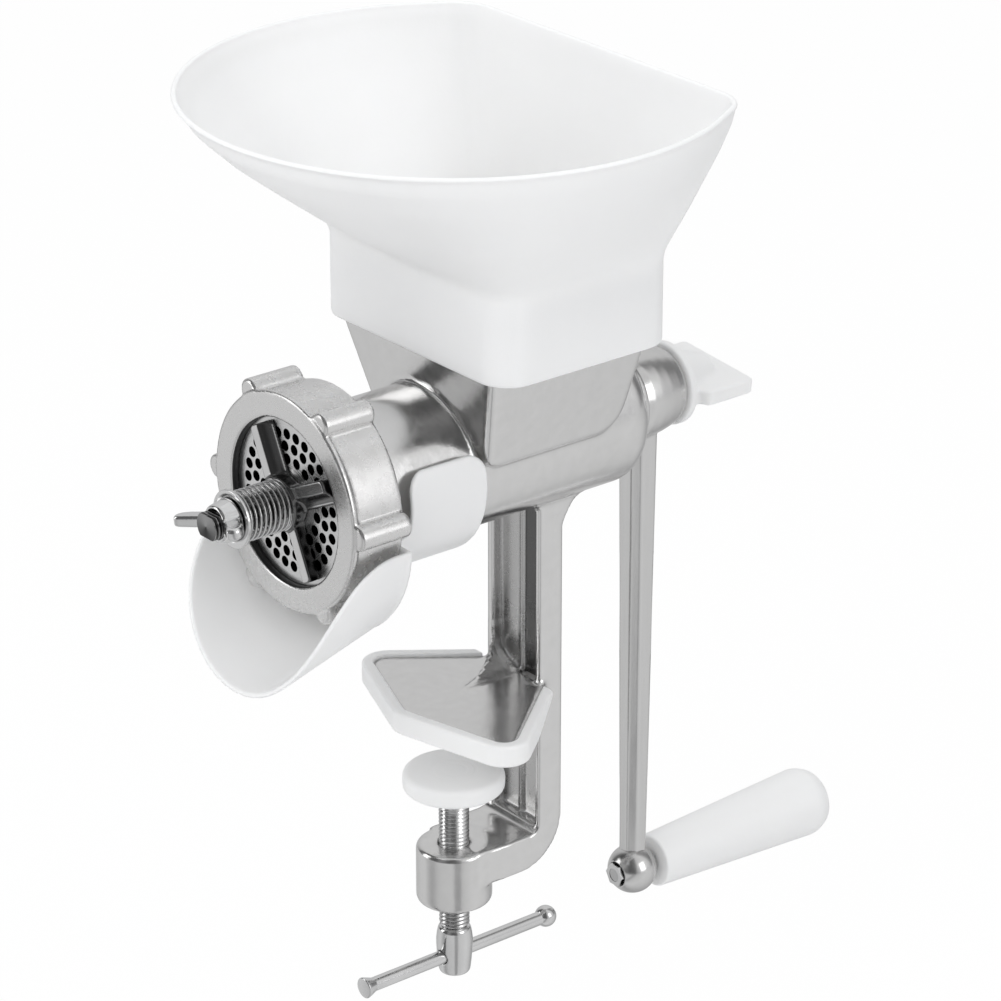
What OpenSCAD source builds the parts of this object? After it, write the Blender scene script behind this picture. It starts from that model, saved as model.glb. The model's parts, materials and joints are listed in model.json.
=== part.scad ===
// Hand-cranked screw mill that clamps on a table edge.
// Origin: on the clamp screw's axis, in the plane of the jaw's rubbing face.
// +Z points up, -Y is the discharge end and +Y is the crank end. Millimetres.

/* [Frame casting] */
// Height of the barrel's axis above the jaw face
axis_z = 115; // [105:1:135]
// Outer radius of the barrel
barrel_r = 33; // [30:0.5:34]
// Wall of the barrel
barrel_wall = 4; // [3:0.5:5]
// Distance from the clamp screw's axis forward to the barrel's mouth
mouth_reach = 78.3; // [72:0.5:88]
// Distance from the clamp screw's axis back to the barrel's rear face
rear_reach = 80.5; // [74:0.5:88]
// Radius of the threaded mouth
mouth_r = 39.5; // [38:0.5:41]
// Length of the threaded mouth
mouth_len = 17; // [14:0.5:20]
// Radius of the flat rear face, which the crank runs against
rear_face_r = 21; // [18:0.5:23]
// Thickness of the barrel's rear wall at the shaft
rear_wall = 14; // [11:0.5:17]

/* [Throat] */
// Half width of the throat at the hopper's lower edge
throat_half_w = 47.5; // [44:0.5:50]
// Distance from the clamp screw's axis forward to the throat's front wall
throat_front = 18.5; // [16:0.5:20]
// Distance from the clamp screw's axis back to the throat's rear wall
throat_rear = 61; // [58:0.5:63]
// Wall of the throat
throat_wall = 3.5; // [3:0.5:4.5]
// Height of the hopper's lower edge above the barrel's axis
collar_rise = 47.5; // [44:0.5:52]
// Height over which the throat leans out inside the hopper's collar
throat_lean = 26; // [22:1:27]

/* [Post and clamp arm] */
// Width of the post and of the arms
post_w = 33; // [30:1:37]
// Depth of the post
post_d = 12; // [10:0.5:15]
// Distance from the clamp screw's axis back to the post's front face
post_gap = 31.5; // [29:0.5:37]
// Depth of the channel in the post's front
channel_d = 4.8; // [3:0.2:6]
// Thickness of the channel's side walls
channel_wall = 3; // [2.5:0.5:4.5]
// Height of the clamp arm
arm_h = 15.5; // [13:0.5:19]
// Distance from the jaw face down to the top of the clamp arm
jaw_opening = 59.5; // [54:0.5:72]
// Outer radius of the clamp arm's screw boss
boss_r = 15.6; // [13:0.2:17]
// Height of the screw boss
boss_h = 26; // [22:0.5:30]
// Radius of the bend between the post and the clamp arm
bend_r = 22; // [17:0.5:24]

/* [Jaw] */
// Half width of the jaw at its front corners
jaw_half_w = 52.2; // [46:0.1:55]
// Reach of the jaw's blunt point in front of the clamp screw
jaw_reach = 30.5; // [26:0.5:32]
// Thickness of the jaw's metal plate
jaw_plate_t = 5; // [4:0.5:7]
// Thickness of the plastic cap under the jaw's plate
jaw_cap_t = 3.2; // [2.4:0.2:4]
// Width of the plastic cap's rim around the jaw's plate
jaw_rim_w = 4.8; // [3:0.1:6]
// Height of the cap's rim above the jaw's plate
jaw_rim_lip = 1.3; // [0.8:0.1:1.6]

/* [Clamp screw] */
// Radius of the clamp screw's thread
screw_r = 6.3; // [5:0.1:6.5]
// Pitch of the clamp screw's thread
screw_pitch = 1.75; // [1.5:0.25:2]
// Gap between the jaw and the pressure pad
clamp_gap = 26.5; // [10:0.5:32]
// Radius of the pressure pad
pad_r = 21; // [17:0.2:22]
// Thickness of the pressure pad
pad_t = 8; // [6.5:0.5:10]
// Radius of the clamp screw's tip in the pad
tip_r = 4; // [3:0.25:4.5]
// Thread that shows between the boss and the screw's head
screw_tail = 12.5; // [8:0.5:16]
// Radius of the clamp screw's head
head_r = 7.7; // [6.8:0.1:8]
// Height of the clamp screw's head
head_h = 21.7; // [18:0.5:25]
// Radius of the tommy bar
bar_r = 2.95; // [2:0.05:3.2]
// Length of the tommy bar between its ends
bar_len = 92; // [70:1:105]
// Radius of the tommy bar's ends
bar_end_r = 4.7; // [3.5:0.1:5.5]

/* [Mouth and die] */
// Inner radius of the ring's opening
aperture_r = 33.9; // [32:0.1:35]
// Thickness of the ring's lip
lip_t = 3.2; // [2.4:0.2:4]
// Thickness of the ring around the thread
ring_wall = 5; // [4:0.5:6]
// Length of the ring
ring_len = 24.5; // [21:0.5:27]
// Radius of the ring's grip lugs
lug_r = 5; // [4:0.5:6]
// Number of grip lugs
lug_count = 6; // [4:1:8]
// Angle by which the lugs are turned from +X toward +Z
lug_turn = 0; // [0:1:59]
// Radius of the die plate
die_r = 36; // [35.4:0.1:36.6]
// Thickness of the die plate
die_t = 5; // [4:0.5:6]
// Height by which the die plate stands out of the mouth
die_stand = 1; // [0.6:0.2:1.6]
// Radius of the die's holes
die_hole_r = 2.2; // [1.5:0.1:2.4]
// Radius of the pin that keeps the die from turning
key_r = 1.5; // [1:0.1:1.8]

/* [Cutter and its spring] */
// Reach of the cutter's blades from the axis
blade_reach = 32; // [29:0.5:33]
// Width of a blade
blade_w = 10.5; // [8:0.5:11]
// Thickness of a blade
blade_t = 5; // [3.5:0.5:5.5]
// Angle of the first blade from +X
blade_turn = 26; // [0:1:89]
// Radius of the cutter's hub
cutter_hub_r = 10.9; // [9.5:0.1:12]
// Height of the cutter's hub beyond its blades
cutter_hub_h = 1; // [1:0.5:3]
// Mean radius of the spring's coils
coil_r = 9.6; // [8.8:0.1:10.2]
// Radius of the spring's wire
wire_r = 0.6; // [0.5:0.05:0.8]
// Number of coils
coil_count = 10; // [8:1:11]
// Length of the spring as fitted
spring_len = 20.5; // [19:0.5:26]
// Radius of the spring's washer
washer_r = 11.7; // [11.2:0.1:13]
// Thickness of the spring's washer
washer_t = 1.6; // [1.2:0.2:2]
// Radius of the wing nut's body
wing_hub_r = 8.8; // [8:0.1:10]
// Height of the wing nut's body
wing_hub_h = 7.5; // [6:0.5:9]
// Reach of the wing nut's wings from the axis
wing_reach = 19.5; // [17:0.5:23]
// Reach of the wings in front of the washer
wing_sweep = 14.5; // [12:0.5:18]
// Angle by which the wings are turned down on the -X side
wing_turn = 10; // [0:1:90]

/* [Shaft and screw] */
// Radius of the shaft in its rear bearing
shaft_r = 7.5; // [7:0.1:8]
// Radius of the shaft's front part, which carries the cutter
front_r = 6; // [5.5:0.1:6.4]
// Half width of the flats on the shaft's front part
flat_half = 4.6; // [4.2:0.1:5]
// Side of the crank's square drive
square_w = 10.4; // [9.6:0.1:10.4]
// Shaft that stands out of the wing nut
shaft_nose = 4; // [2:0.5:8]
// Radius of the feed screw's core
core_r = 12.5; // [11:0.5:14]
// Pitch of the feed screw
flight_pitch = 33; // [26:1:40]
// Gap between the feed screw and the barrel
flight_gap = 0.6; // [0.4:0.1:1]
// Radius of the cross pin between shaft and feed screw
cross_pin_r = 2; // [1.5:0.1:2.5]
// Wall of the rear bearing bush
bush_wall = 3; // [2.5:0.25:3.5]
// Thickness of the bush's flange
bush_flange_t = 2; // [1.5:0.25:3]
// Thickness of the nylon thrust washer
thrust_t = 1.8; // [1.4:0.2:3]

/* [Crank] */
// Distance from the shaft's axis to the grip's axis
crank_throw = 220; // [190:1:235]
// Radius of the crank's eye
eye_r = 18.8; // [17.5:0.1:20]
// Length of the crank's eye along the shaft
eye_len = 29.5; // [27:0.5:33]
// Thickness of the collar at the eye's front
eye_collar_t = 4.5; // [3:0.5:6]
// Width of the crank arm at the eye
arm_w_top = 11.5; // [10:0.5:14]
// Depth of the crank arm at the eye
arm_d_top = 11.6; // [9:0.2:13]
// Width of the crank arm at the ball
arm_w_end = 8; // [7:0.5:10]
// Depth of the crank arm at the ball
arm_d_end = 8.2; // [6:0.2:9]
// Distance from the eye's front to the arm's centre plane
arm_offset = 16; // [13:0.5:18]
// Radius of the ball at the arm's end
ball_r = 10.6; // [9:0.1:11]
// Radius of the thumb knob's flange
knob_flange_r = 17.5; // [16:0.5:19]
// Thickness of the thumb knob's flange
knob_flange_t = 3.5; // [2.5:0.5:5]
// Half width of the thumb knob's wing at its end
knob_half_w = 21.5; // [19:0.5:25]
// Thickness of the thumb knob's wing
knob_wing_t = 6.5; // [5:0.5:8]
// Turn of the thumb knob about the axis, degrees
knob_turn = 5; // [0:1:180]
// Length of the thumb knob behind its flange
knob_len = 27; // [20:0.5:32]
// Radius of the thumb knob's stud
stud_r = 4; // [3:0.25:4]

/* [Grip] */
// Length of the grip
grip_len = 95; // [85:1:110]
// Radius of the grip next to the ball
grip_r_near = 11.5; // [10:0.5:12]
// Radius of the grip at its outer end
grip_r_far = 15.2; // [13:0.1:16.5]
// Radius of the bolt that the grip turns on
bolt_r = 2.9; // [2.5:0.1:3.2]
// Width across the flats of the bolt's nut
nut_flats = 9; // [8.4:0.2:10]

/* [Hopper] */
// Height of the collar
collar_h = 36; // [34:1:40]
// Height of the hopper's flared part
flare_h = 67; // [55:1:80]
// Radius of the hopper's round front at the rim
rim_r = 108; // [100:1:112]
// Distance from the clamp screw's axis back to the hopper's straight back
rim_rear = 77; // [74:0.5:84]
// Half width of the rim's straight back
rim_back_half_w = 90; // [84:1:95]
// Wall of the hopper
hopper_wall = 2.4; // [1.8:0.2:3]

/* [Chute] */
// Length of the chute's clip on the barrel's neck
clip_len = 46; // [38:1:46]
// Wall of the chute
chute_wall = 1.8; // [1.4:0.2:2.2]
// Clear width between the ring and the scoop at the sides
scoop_ease = 1.6; // [1:0.2:4]
// Slope of the scoop below the horizontal
scoop_tilt = 16.5; // [12:0.5:22]
// Reach of the scoop in front of the ring
scoop_reach = 30; // [20:1:38]

/* [Hidden] */
$fn = 96;
hull_fn = 32;
fit = 0.05;      // running clearance of a shaft in its hole
gap = 0.3;       // clearance between loose neighbours

// Places along the barrel, from the front to the rear
mouth_y = -mouth_reach;
die_front_y = mouth_y - die_stand;
die_rows = 3;
die_starts = [15, 7, 9];    // turn of each row of holes
die_row_step = 5.1;
die_row_r = aperture_r - 6.6 - (die_rows - 1) * die_row_step;
ring_front_y = die_front_y - lip_t;
lug_stand = 0.3;      // of the lugs' middles outside the ring
ring_back_y = ring_front_y + ring_len;
seat_y = die_front_y + die_t;
rear_y = rear_reach;
chamber_end_y = rear_y - rear_wall;
chamber_r = barrel_r - barrel_wall;
ring_bore_r = mouth_r + fit;
ring_r = ring_bore_r + ring_wall;
neck_r = barrel_r + 3.5;

cutter_back_y = die_front_y - 0.1;
cutter_front_y = cutter_back_y - blade_t - cutter_hub_h;
spring_front_y = cutter_front_y - spring_len;
washer_front_y = spring_front_y - washer_t;
shaft_front_y = washer_front_y - wing_hub_h - shaft_nose;
wing_front_y = washer_front_y - wing_sweep;

eye_front_y = rear_y + 0.5;
eye_rear_y = eye_front_y + eye_len;
arm_y = eye_front_y + arm_offset;
shaft_rear_y = eye_rear_y - 3;
pin_y = chamber_end_y - 20;
grip_z = axis_z - crank_throw;
grip_front_y = arm_y + ball_r;
grip_rear_y = grip_front_y + grip_len;

// Heights of the throat
collar_z = axis_z + collar_rise;
throat_foot_z = axis_z + 15;
throat_side_z = axis_z + 4;
throat_lean_z = collar_z + throat_lean;
throat_top_z = throat_lean_z + 4;
side_slope = 0.31;
front_slope = 0.19;
rim_slope = 0.03;     // of the front, inside the hopper's collar
rear_slope = 0.08;
throat_corner_r = 3.5;

// The hopper's collar slips over the throat's upright rim
collar_half_w = throat_half_w + side_slope * throat_lean + gap + hopper_wall;
collar_front = throat_front + rim_slope * throat_lean + gap + hopper_wall;
collar_rear = throat_rear + rear_slope * throat_lean + gap + hopper_wall;
collar_corner_r = 14;
flare_z = collar_z + collar_h;
rim_z = flare_z + flare_h;

// Heights below the jaw
arm_top_z = -jaw_opening;
arm_bottom_z = arm_top_z - arm_h;
boss_bottom_z = arm_top_z - boss_h;
pad_top_z = -clamp_gap;
pad_bottom_z = pad_top_z - pad_t;
head_top_z = boss_bottom_z - screw_tail;
head_bottom_z = head_top_z - head_h;
bar_z = head_top_z - 0.62 * head_h;
bar_shift = 2.5;      // how far the tommy bar has slid toward the crank
plate_bottom_z = jaw_cap_t;
plate_top_z = plate_bottom_z + jaw_plate_t;
post_front_y = post_gap;
post_rear_y = post_gap + post_d;
jaw_corner_r = 10.8;
cap_rise_y = 9;       // the jaw cap's lower edge rises from there to the post
cap_rise_z = jaw_cap_t + 4;
jaw_shift = 2.9;      // the jaw's middle is that far toward +X

// The chute's scoop is a tube that leans down below the ring
scoop_back_y = ring_back_y + gap;
scoop_drop = 9.5;     // how far the tube's axis lies below the barrel's there
scoop_edge_z = axis_z - 12;
scoop_in_r = sqrt(pow(sqrt(pow(ring_r, 2) - pow(12, 2)) + scoop_ease, 2) + pow(12 - scoop_drop, 2));
scoop_r = scoop_in_r + chute_wall;
clip_r = neck_r + gap;
clip_edge_z = axis_z + 13.7;

// The grip's bolt head sits below the grip's plug
bolt_head_r = 5;
bolt_head_h = 5;
head_seat_y = grip_rear_y - 9;

// Turns a child's +Z axis to +Y and puts it on the barrel's axis at y
module on_axis(y) translate([0, y, axis_z]) rotate([-90, 0, 0]) children();
// The same on the grip's axis
module on_grip_axis(y) translate([0, y, grip_z]) rotate([-90, 0, 0]) children();
// Points of an arc about c from angle a to angle b
function arc(c, r, a, b, n) = [for (i = [0 : n]) let (t = a + (b - a) * i / n) c + r * [cos(t), sin(t)]];
// A rounded rectangle between two corners
module rounded_rect(x0, y0, x1, y1, r, n = 6) polygon(concat(
    arc([x1 - r, y1 - r], r, 0, 90, n), arc([x0 + r, y1 - r], r, 90, 180, n),
    arc([x0 + r, y0 + r], r, 180, 270, n), arc([x1 - r, y0 + r], r, 270, 360, n)));

// ---- Frame casting ----
module barrel_outside() {
    dome_r = barrel_r - rear_face_r;
    on_axis(0) rotate_extrude() polygon(concat(
        [[0, mouth_y], [mouth_r - 1, mouth_y], [mouth_r, mouth_y + 1], [mouth_r, mouth_y + mouth_len],
         [neck_r, mouth_y + mouth_len + 4], [neck_r, scoop_back_y + clip_len + 4], [barrel_r, post_front_y]],
        arc([rear_face_r, rear_y - dome_r], dome_r, 0, 90, 8),
        [[0, rear_y]]));
}
// Level section of the throat, drawn in by inset, and short by cut at its front and rear
module throat_section(z, inset, cut = [0, 0], h = 0.01) {
    lean = min(throat_lean_z, z) - collar_z;
    half_w = throat_half_w + side_slope * lean - inset;
    front = throat_front + (lean > 0 ? rim_slope : front_slope) * lean - inset;
    // its corners grow rounder inside the hopper's collar, to fit the collar's own
    rim_corner_r = collar_corner_r - hopper_wall - gap + 0.2;
    corner_r = throat_corner_r + (rim_corner_r - throat_corner_r) * max(0, lean) / throat_lean;
    translate([0, 0, z]) linear_extrude(h)
        rounded_rect(-half_w, -front + cut[0], half_w, throat_rear + rear_slope * lean - inset - cut[1],
                     corner_r);
}
module throat_outside() {
    hull() { throat_section(throat_foot_z, 0); throat_section(collar_z, 0); }
    hull() { throat_section(collar_z, 0); throat_section(throat_lean_z, 0); }
    throat_section(throat_lean_z, 0, h = throat_top_z - throat_lean_z);
    // the throat's sides run on down to the barrel's widest place, behind the chute's clip
    cut = scoop_back_y + clip_len + 1.5 + throat_front - front_slope * (collar_z - throat_foot_z);
    hull() {
        throat_section(throat_foot_z, 0, [cut, 0]);
        throat_section(throat_side_z, 0, [cut, 9]);
    }
}
module throat_inside() {
    hull() { throat_section(throat_foot_z - 8, throat_wall + 4); throat_section(collar_z, throat_wall); }
    hull() { throat_section(collar_z, throat_wall); throat_section(throat_lean_z, throat_wall); }
    throat_section(throat_lean_z, throat_wall, h = throat_top_z - throat_lean_z + 1);
}
// Side outline of the C-shaped frame in Y and Z
module frame_profile() {
    top_z = axis_z - barrel_r + 7;
    inner_r = 4.5;
    foot = 7;
    polygon(concat(
        arc([post_front_y - foot, top_z - foot], foot, 90, 0, 8),
        arc([post_front_y - inner_r, arm_top_z + inner_r], inner_r, 0, -90, 6),
        [[0, arm_top_z], [0, arm_bottom_z]],
        arc([post_rear_y - bend_r, arm_bottom_z + bend_r], bend_r, -90, 0, 12),
        [[post_rear_y, top_z - 13], [post_rear_y + 1.5, top_z - 9.5], [post_rear_y + 8, top_z]]));
}
// Hollow-faced gusset from the post's far wall to the middle of the jaw's plate
module jaw_gusset() difference() {
    r = 17;
    half = post_w / 2;
    translate([0, 0, plate_top_z - 1]) linear_extrude(r + 1)
        translate([0, post_front_y]) polygon([
            [-half, channel_d + 0.5], [-half, 0], [-half + 2, -0.9], [-half + 7, -6.3],
            [-half + 11.2, -13.8], [0.9, -29.9], [1, channel_d + 0.5]]);
    translate([-half + channel_wall + r, 100, plate_top_z + r]) rotate([90, 0, 0]) cylinder(r = r, h = 200);
}
module frame_web() {
    half = post_w / 2;
    difference() {
        rotate([90, 0, 90]) translate([0, 0, -half]) linear_extrude(post_w) frame_profile();
        // channel in the front of the post
        for (z = [[arm_top_z + 3, plate_bottom_z - 1], [plate_top_z + 1, axis_z - barrel_r + 4]])
            translate([-half + channel_wall, post_front_y - 1, z[0]])
                cube([post_w - 2 * channel_wall, channel_d + 1, z[1] - z[0]]);
    }
    // low rib down the middle of the channel
    translate([-1.1, post_front_y + channel_d - 2, arm_top_z + 1]) cube([2.2, 3, axis_z - barrel_r - arm_top_z]);
    jaw_gusset();
}
// Outline of the jaw, drawn in by inset
module jaw_area(inset) hull() {
    side = jaw_half_w - jaw_corner_r;
    root = post_w / 2 + 3 - jaw_corner_r;
    for (p = [[-1.1, -jaw_reach + jaw_corner_r], [side, -jaw_reach + 20.9],
              [-side, -jaw_reach + 26.9], [root, post_front_y], [-root - 2 * jaw_shift, post_front_y]])
        translate([p[0] + jaw_shift, p[1]]) circle(jaw_corner_r - inset, $fn = hull_fn);
}
module body_casting() color("silver") difference() {
    union() {
        barrel_outside();
        throat_outside();
        frame_web();
        translate([0, 0, plate_bottom_z]) linear_extrude(jaw_plate_t) {
            intersection() {
                jaw_area(jaw_rim_w);
                translate([-100, -100]) square([200, 100 + post_front_y + 1]);
            }
            translate([-post_w / 2, post_front_y - 6]) square([post_w, 8]);
        }
        translate([0, 0, boss_bottom_z]) cylinder(r = boss_r, h = boss_h);
    }
    throat_inside();
    on_axis(mouth_y - 1) cylinder(r = chamber_r, h = chamber_end_y - mouth_y + 1);
    on_axis(mouth_y - 1) cylinder(r = die_r + fit, h = seat_y - mouth_y + 1);
    on_axis(chamber_end_y - 1) cylinder(r = shaft_r + bush_wall + 2 * fit, h = rear_wall + 2);
    translate([0, 0, boss_bottom_z - 1]) cylinder(r = screw_r + fit, h = boss_h + 2);
    on_axis(mouth_y - 1) translate([0, -die_r, 0]) cylinder(r = key_r + fit, h = seat_y - mouth_y + 5);
}

// ---- Bearing ----
module rear_bush() color("peru") on_axis(chamber_end_y) difference() {
    union() {
        cylinder(r = shaft_r + bush_wall + fit, h = rear_wall);
        translate([0, 0, -bush_flange_t]) cylinder(r = shaft_r + bush_wall + 3.5, h = bush_flange_t);
    }
    translate([0, 0, -bush_flange_t - 1]) cylinder(r = shaft_r + fit, h = rear_wall + bush_flange_t + 2);
}
module thrust_washer() color("ivory") on_axis(chamber_end_y - bush_flange_t - thrust_t) difference() {
    cylinder(r = shaft_r + bush_wall + 3, h = thrust_t);
    translate([0, 0, -1]) cylinder(r = shaft_r + fit, h = thrust_t + 2);
}

// ---- Jaw cap ----
module jaw_cap() color("white") difference() {
    linear_extrude(plate_top_z + jaw_rim_lip) jaw_area(0);
    translate([0, 0, jaw_cap_t]) linear_extrude(jaw_plate_t + jaw_rim_lip + 1) jaw_area(jaw_rim_w - fit);
    // open where the post's walls flare out and behind the post's front
    translate([-post_w / 2 - gap, post_front_y - 17, jaw_cap_t]) cube([post_w + 2 * gap, 40, 30]);
    translate([-100, post_front_y - gap, -1]) cube([200, 40, 30]);
    // its lower edge rises toward the post
    rotate([90, 0, 90]) translate([0, 0, -100]) linear_extrude(200)
        polygon([[cap_rise_y, -1], [cap_rise_y, 0], [post_front_y + 1, cap_rise_z], [post_front_y + 1, -1]]);
}

// ---- Die and ring ----
// Rings of holes, each with more holes than the one inside it
module die_holes() {
    for (i = [0 : die_rows - 1]) {
        count = 18 + 6 * i;
        for (k = [0 : count - 1]) rotate([0, 0, -die_starts[i] - k * 360 / count])
            translate([die_row_r + i * die_row_step, 0, -1]) cylinder(r = die_hole_r, h = die_t + 2, $fn = 24);
    }
}
module die_plate() color("silver") on_axis(die_front_y) difference() {
    cylinder(r = die_r, h = die_t);
    translate([0, 0, -1]) cylinder(r = front_r + fit, h = die_t + 2);
    die_holes();
    // notch for the key pin, at the top of the plate
    translate([0, -die_r, -1]) cylinder(r = key_r + fit, h = die_t + 2);
}
module die_key_pin() color("gray") on_axis(die_front_y + 1) translate([0, -die_r, 0])
    cylinder(r = key_r, h = seat_y + 4 - die_front_y - 1);

module ring_nut() color("silver") on_axis(ring_front_y) difference() {
    union() {
        rotate_extrude() polygon([[aperture_r - 2, 0], [ring_r - 3, 0], [ring_r - 0.9, 0.9], [ring_r, 3],
                                  [ring_r - 0.7, ring_len], [aperture_r - 2, ring_len]]);
        for (i = [0 : lug_count - 1]) rotate([0, 0, i * 360 / lug_count - lug_turn])
            translate([ring_r + lug_stand, 0, 1.2]) cylinder(r = lug_r, h = ring_len - 1.8);
    }
    translate([0, 0, -1]) cylinder(r = aperture_r, h = ring_len + 2);
    translate([0, 0, lip_t]) cylinder(r = ring_bore_r, h = ring_len);
}

// ---- Shaft and feed screw ----
module drive_shaft() color("gainsboro") difference() {
    union() {
        intersection() {
            on_axis(shaft_front_y) cylinder(r = front_r, h = seat_y + 10 - shaft_front_y);
            translate([-front_r - 1, shaft_front_y - 1, axis_z - flat_half])
                cube([2 * front_r + 2, seat_y + 12 - shaft_front_y, 2 * flat_half]);
        }
        on_axis(die_front_y) cylinder(r = front_r, h = die_t + 12);
        on_axis(seat_y + 2) cylinder(r = shaft_r, h = eye_front_y - seat_y - 2);
        on_axis(eye_front_y - 1) translate([-square_w / 2, -square_w / 2, 0])
            cube([square_w, square_w, shaft_rear_y - eye_front_y + 1]);
    }
    on_axis(shaft_rear_y - 20) cylinder(r = stud_r + fit, h = 21);
    translate([0, pin_y, axis_z]) cylinder(r = cross_pin_r + fit, h = 40, center = true);
}
module feed_screw() color("silver") {
    y0 = seat_y + 0.4;
    y1 = chamber_end_y - bush_flange_t - thrust_t - 0.2;
    flight_len = y1 - y0 - 4;
    flight_r = chamber_r - flight_gap;
    difference() {
        on_axis(y0) union() {
            cylinder(r = core_r, h = y1 - y0);
            translate([0, 0, 1]) linear_extrude(flight_len, twist = -360 * flight_len / flight_pitch,
                                                slices = round(20 * flight_len / flight_pitch), $fn = 12)
                polygon(concat([[core_r - 2, 0]], arc([0, 0], flight_r, 0, 42, 4), [[core_r - 3, 2]]));
        }
        on_axis(y0 - 1) cylinder(r = shaft_r + fit, h = y1 - y0 + 2);
        translate([0, pin_y, axis_z]) cylinder(r = cross_pin_r + fit, h = 2 * core_r + 2, center = true);
    }
}
module cross_pin() color("gray") translate([0, pin_y, axis_z])
    cylinder(r = cross_pin_r, h = 2 * core_r - 1, center = true);

// ---- Cutter, spring and wing nut ----
module cutter() color("silver") on_axis(cutter_front_y) difference() {
    union() {
        cylinder(r = cutter_hub_r, h = cutter_hub_h + blade_t);
        for (i = [0 : 3]) rotate([0, 0, -blade_turn + 90 * i])
            translate([0, -blade_w / 2, cutter_hub_h]) rotate([90, 0, 90]) linear_extrude(blade_reach)
                polygon([[0, blade_t], [blade_w, blade_t], [blade_w, blade_t - 1], [blade_w * 0.45, 0], [0, 0]]);
    }
    intersection() {
        translate([0, 0, -1]) cylinder(r = front_r + fit, h = 20);
        translate([-20, -flat_half - fit, -1]) cube([40, 2 * (flat_half + fit), 20]);
    }
}
// Place of the wire's middle after t turns, with a closed coil at each end
closed_pitch = 2.2 * wire_r;
free_pitch = (spring_len - 2 * wire_r - 2 * closed_pitch) / (coil_count - 2);
function coil_z(t) = wire_r + closed_pitch * (min(t, 1) + max(0, t - coil_count + 1))
                     + free_pitch * (min(max(t, 1), coil_count - 1) - 1);
// Wire wound to a helix
module cutter_spring() color("gray") {
    steps = 24;                    // per turn
    sides = 8;
    last = coil_count * steps;
    on_axis(spring_front_y) polyhedron(
        points = [for (i = [0 : last], k = [0 : sides - 1])
            let (r = coil_r + wire_r * cos(k * 360 / sides), a = i * 360 / steps)
            [r * cos(a), r * sin(a), coil_z(i / steps) + wire_r * sin(k * 360 / sides)]],
        faces = concat(
            [[for (k = [0 : sides - 1]) k], [for (k = [sides - 1 : -1 : 0]) last * sides + k]],
            [for (i = [0 : last - 1], k = [0 : sides - 1], h = [0, 1])
                let (a = i * sides, n = (k + 1) % sides, b = a + sides)
                h == 0 ? [a + k, b + k, b + n] : [a + k, b + n, a + n]]));
}
module spring_washer() color("silver") on_axis(washer_front_y) difference() {
    cylinder(r = washer_r, h = washer_t);
    translate([0, 0, -1]) cylinder(r = front_r + fit, h = washer_t + 2);
}
module wing_nut() color("silver") on_axis(washer_front_y) {
    wing_t = 4;
    difference() {
        union() {
            translate([0, 0, -wing_hub_h]) cylinder(r1 = wing_hub_r - 1.5, r2 = wing_hub_r, h = wing_hub_h);
            for (s = [0, 180]) rotate([0, 0, s - wing_turn]) translate([0, wing_t / 2, 0]) rotate([90, 0, 0])
                linear_extrude(wing_t)
                    polygon([[front_r + 1, -1], [wing_hub_r, -1], [wing_reach, 5 - wing_sweep],
                             [wing_reach, 1 - wing_sweep], [wing_reach - 1, -wing_sweep],
                             [wing_reach - 4, -wing_sweep], [front_r + 1, 1 - wing_hub_h]]);
        }
        translate([0, 0, -wing_sweep]) cylinder(r = front_r + fit, h = wing_sweep + 2);
    }
}

// ---- Crank ----
module crank_arm() color("silver") {
    square_hole = square_w + 2 * fit;
    difference() {
        union() {
            on_axis(eye_front_y) rotate_extrude() polygon(concat(
                [[0, 0], [rear_face_r - 1.5, 0], [rear_face_r, 1], [rear_face_r, eye_collar_t],
                 [eye_r - 1.5, eye_collar_t + 1], [eye_r, eye_collar_t + 6], [eye_r, eye_collar_t + 14],
                 [eye_r - 0.8, eye_len - 6], [eye_r - 2, eye_len], [0, eye_len]]));
            hull() {
                translate([-arm_w_top / 2, arm_y - arm_d_top / 2, axis_z - 8]) cube([arm_w_top, arm_d_top, 1]);
                translate([-arm_w_end / 2, arm_y - arm_d_end / 2, grip_z]) cube([arm_w_end, arm_d_end, 1]);
            }
            translate([0, arm_y, grip_z]) sphere(ball_r);
        }
        on_axis(eye_front_y - 1) translate([-square_hole / 2, -square_hole / 2, 0])
            cube([square_hole, square_hole, shaft_rear_y - eye_front_y + 1.3]);
        on_axis(eye_rear_y - 5) cylinder(r = stud_r + gap, h = 6);
        on_grip_axis(arm_y - ball_r - 1) cylinder(r = bolt_r + fit, h = 2 * ball_r + 2);
        on_grip_axis(arm_y - ball_r - 1) cylinder(r = nut_flats / 2 / cos(30) + gap, h = 5);
        on_grip_axis(arm_y + ball_r - 0.8) cylinder(r = ball_r, h = 2);
    }
}
module thumb_knob() color("white") difference() {
    rear_y = eye_rear_y + knob_len + 3;
    union() {
        on_axis(eye_rear_y) cylinder(r = knob_flange_r, h = knob_flange_t);
        translate([0, 0, axis_z]) rotate([0, knob_turn, 0]) translate([0, 0, -knob_wing_t / 2])
            linear_extrude(knob_wing_t) polygon([
                [knob_flange_r - 1, eye_rear_y + 1], [knob_half_w, eye_rear_y + 4], [knob_half_w, rear_y - 1],
                [knob_half_w - 1, rear_y], [-knob_half_w + 1, rear_y], [-knob_half_w, rear_y - 1],
                [-knob_half_w, eye_rear_y + 4], [-knob_flange_r + 1, eye_rear_y + 1]]);
        on_axis(eye_rear_y) cylinder(r1 = 15.5, r2 = 8, h = knob_len - 5);
    }
    on_axis(eye_rear_y - 1) cylinder(r = stud_r + fit, h = 17);
}
module thumb_stud() color("gainsboro") on_axis(shaft_rear_y - 17) cylinder(r = stud_r, h = 17 + 3 + 15.5);

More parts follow.
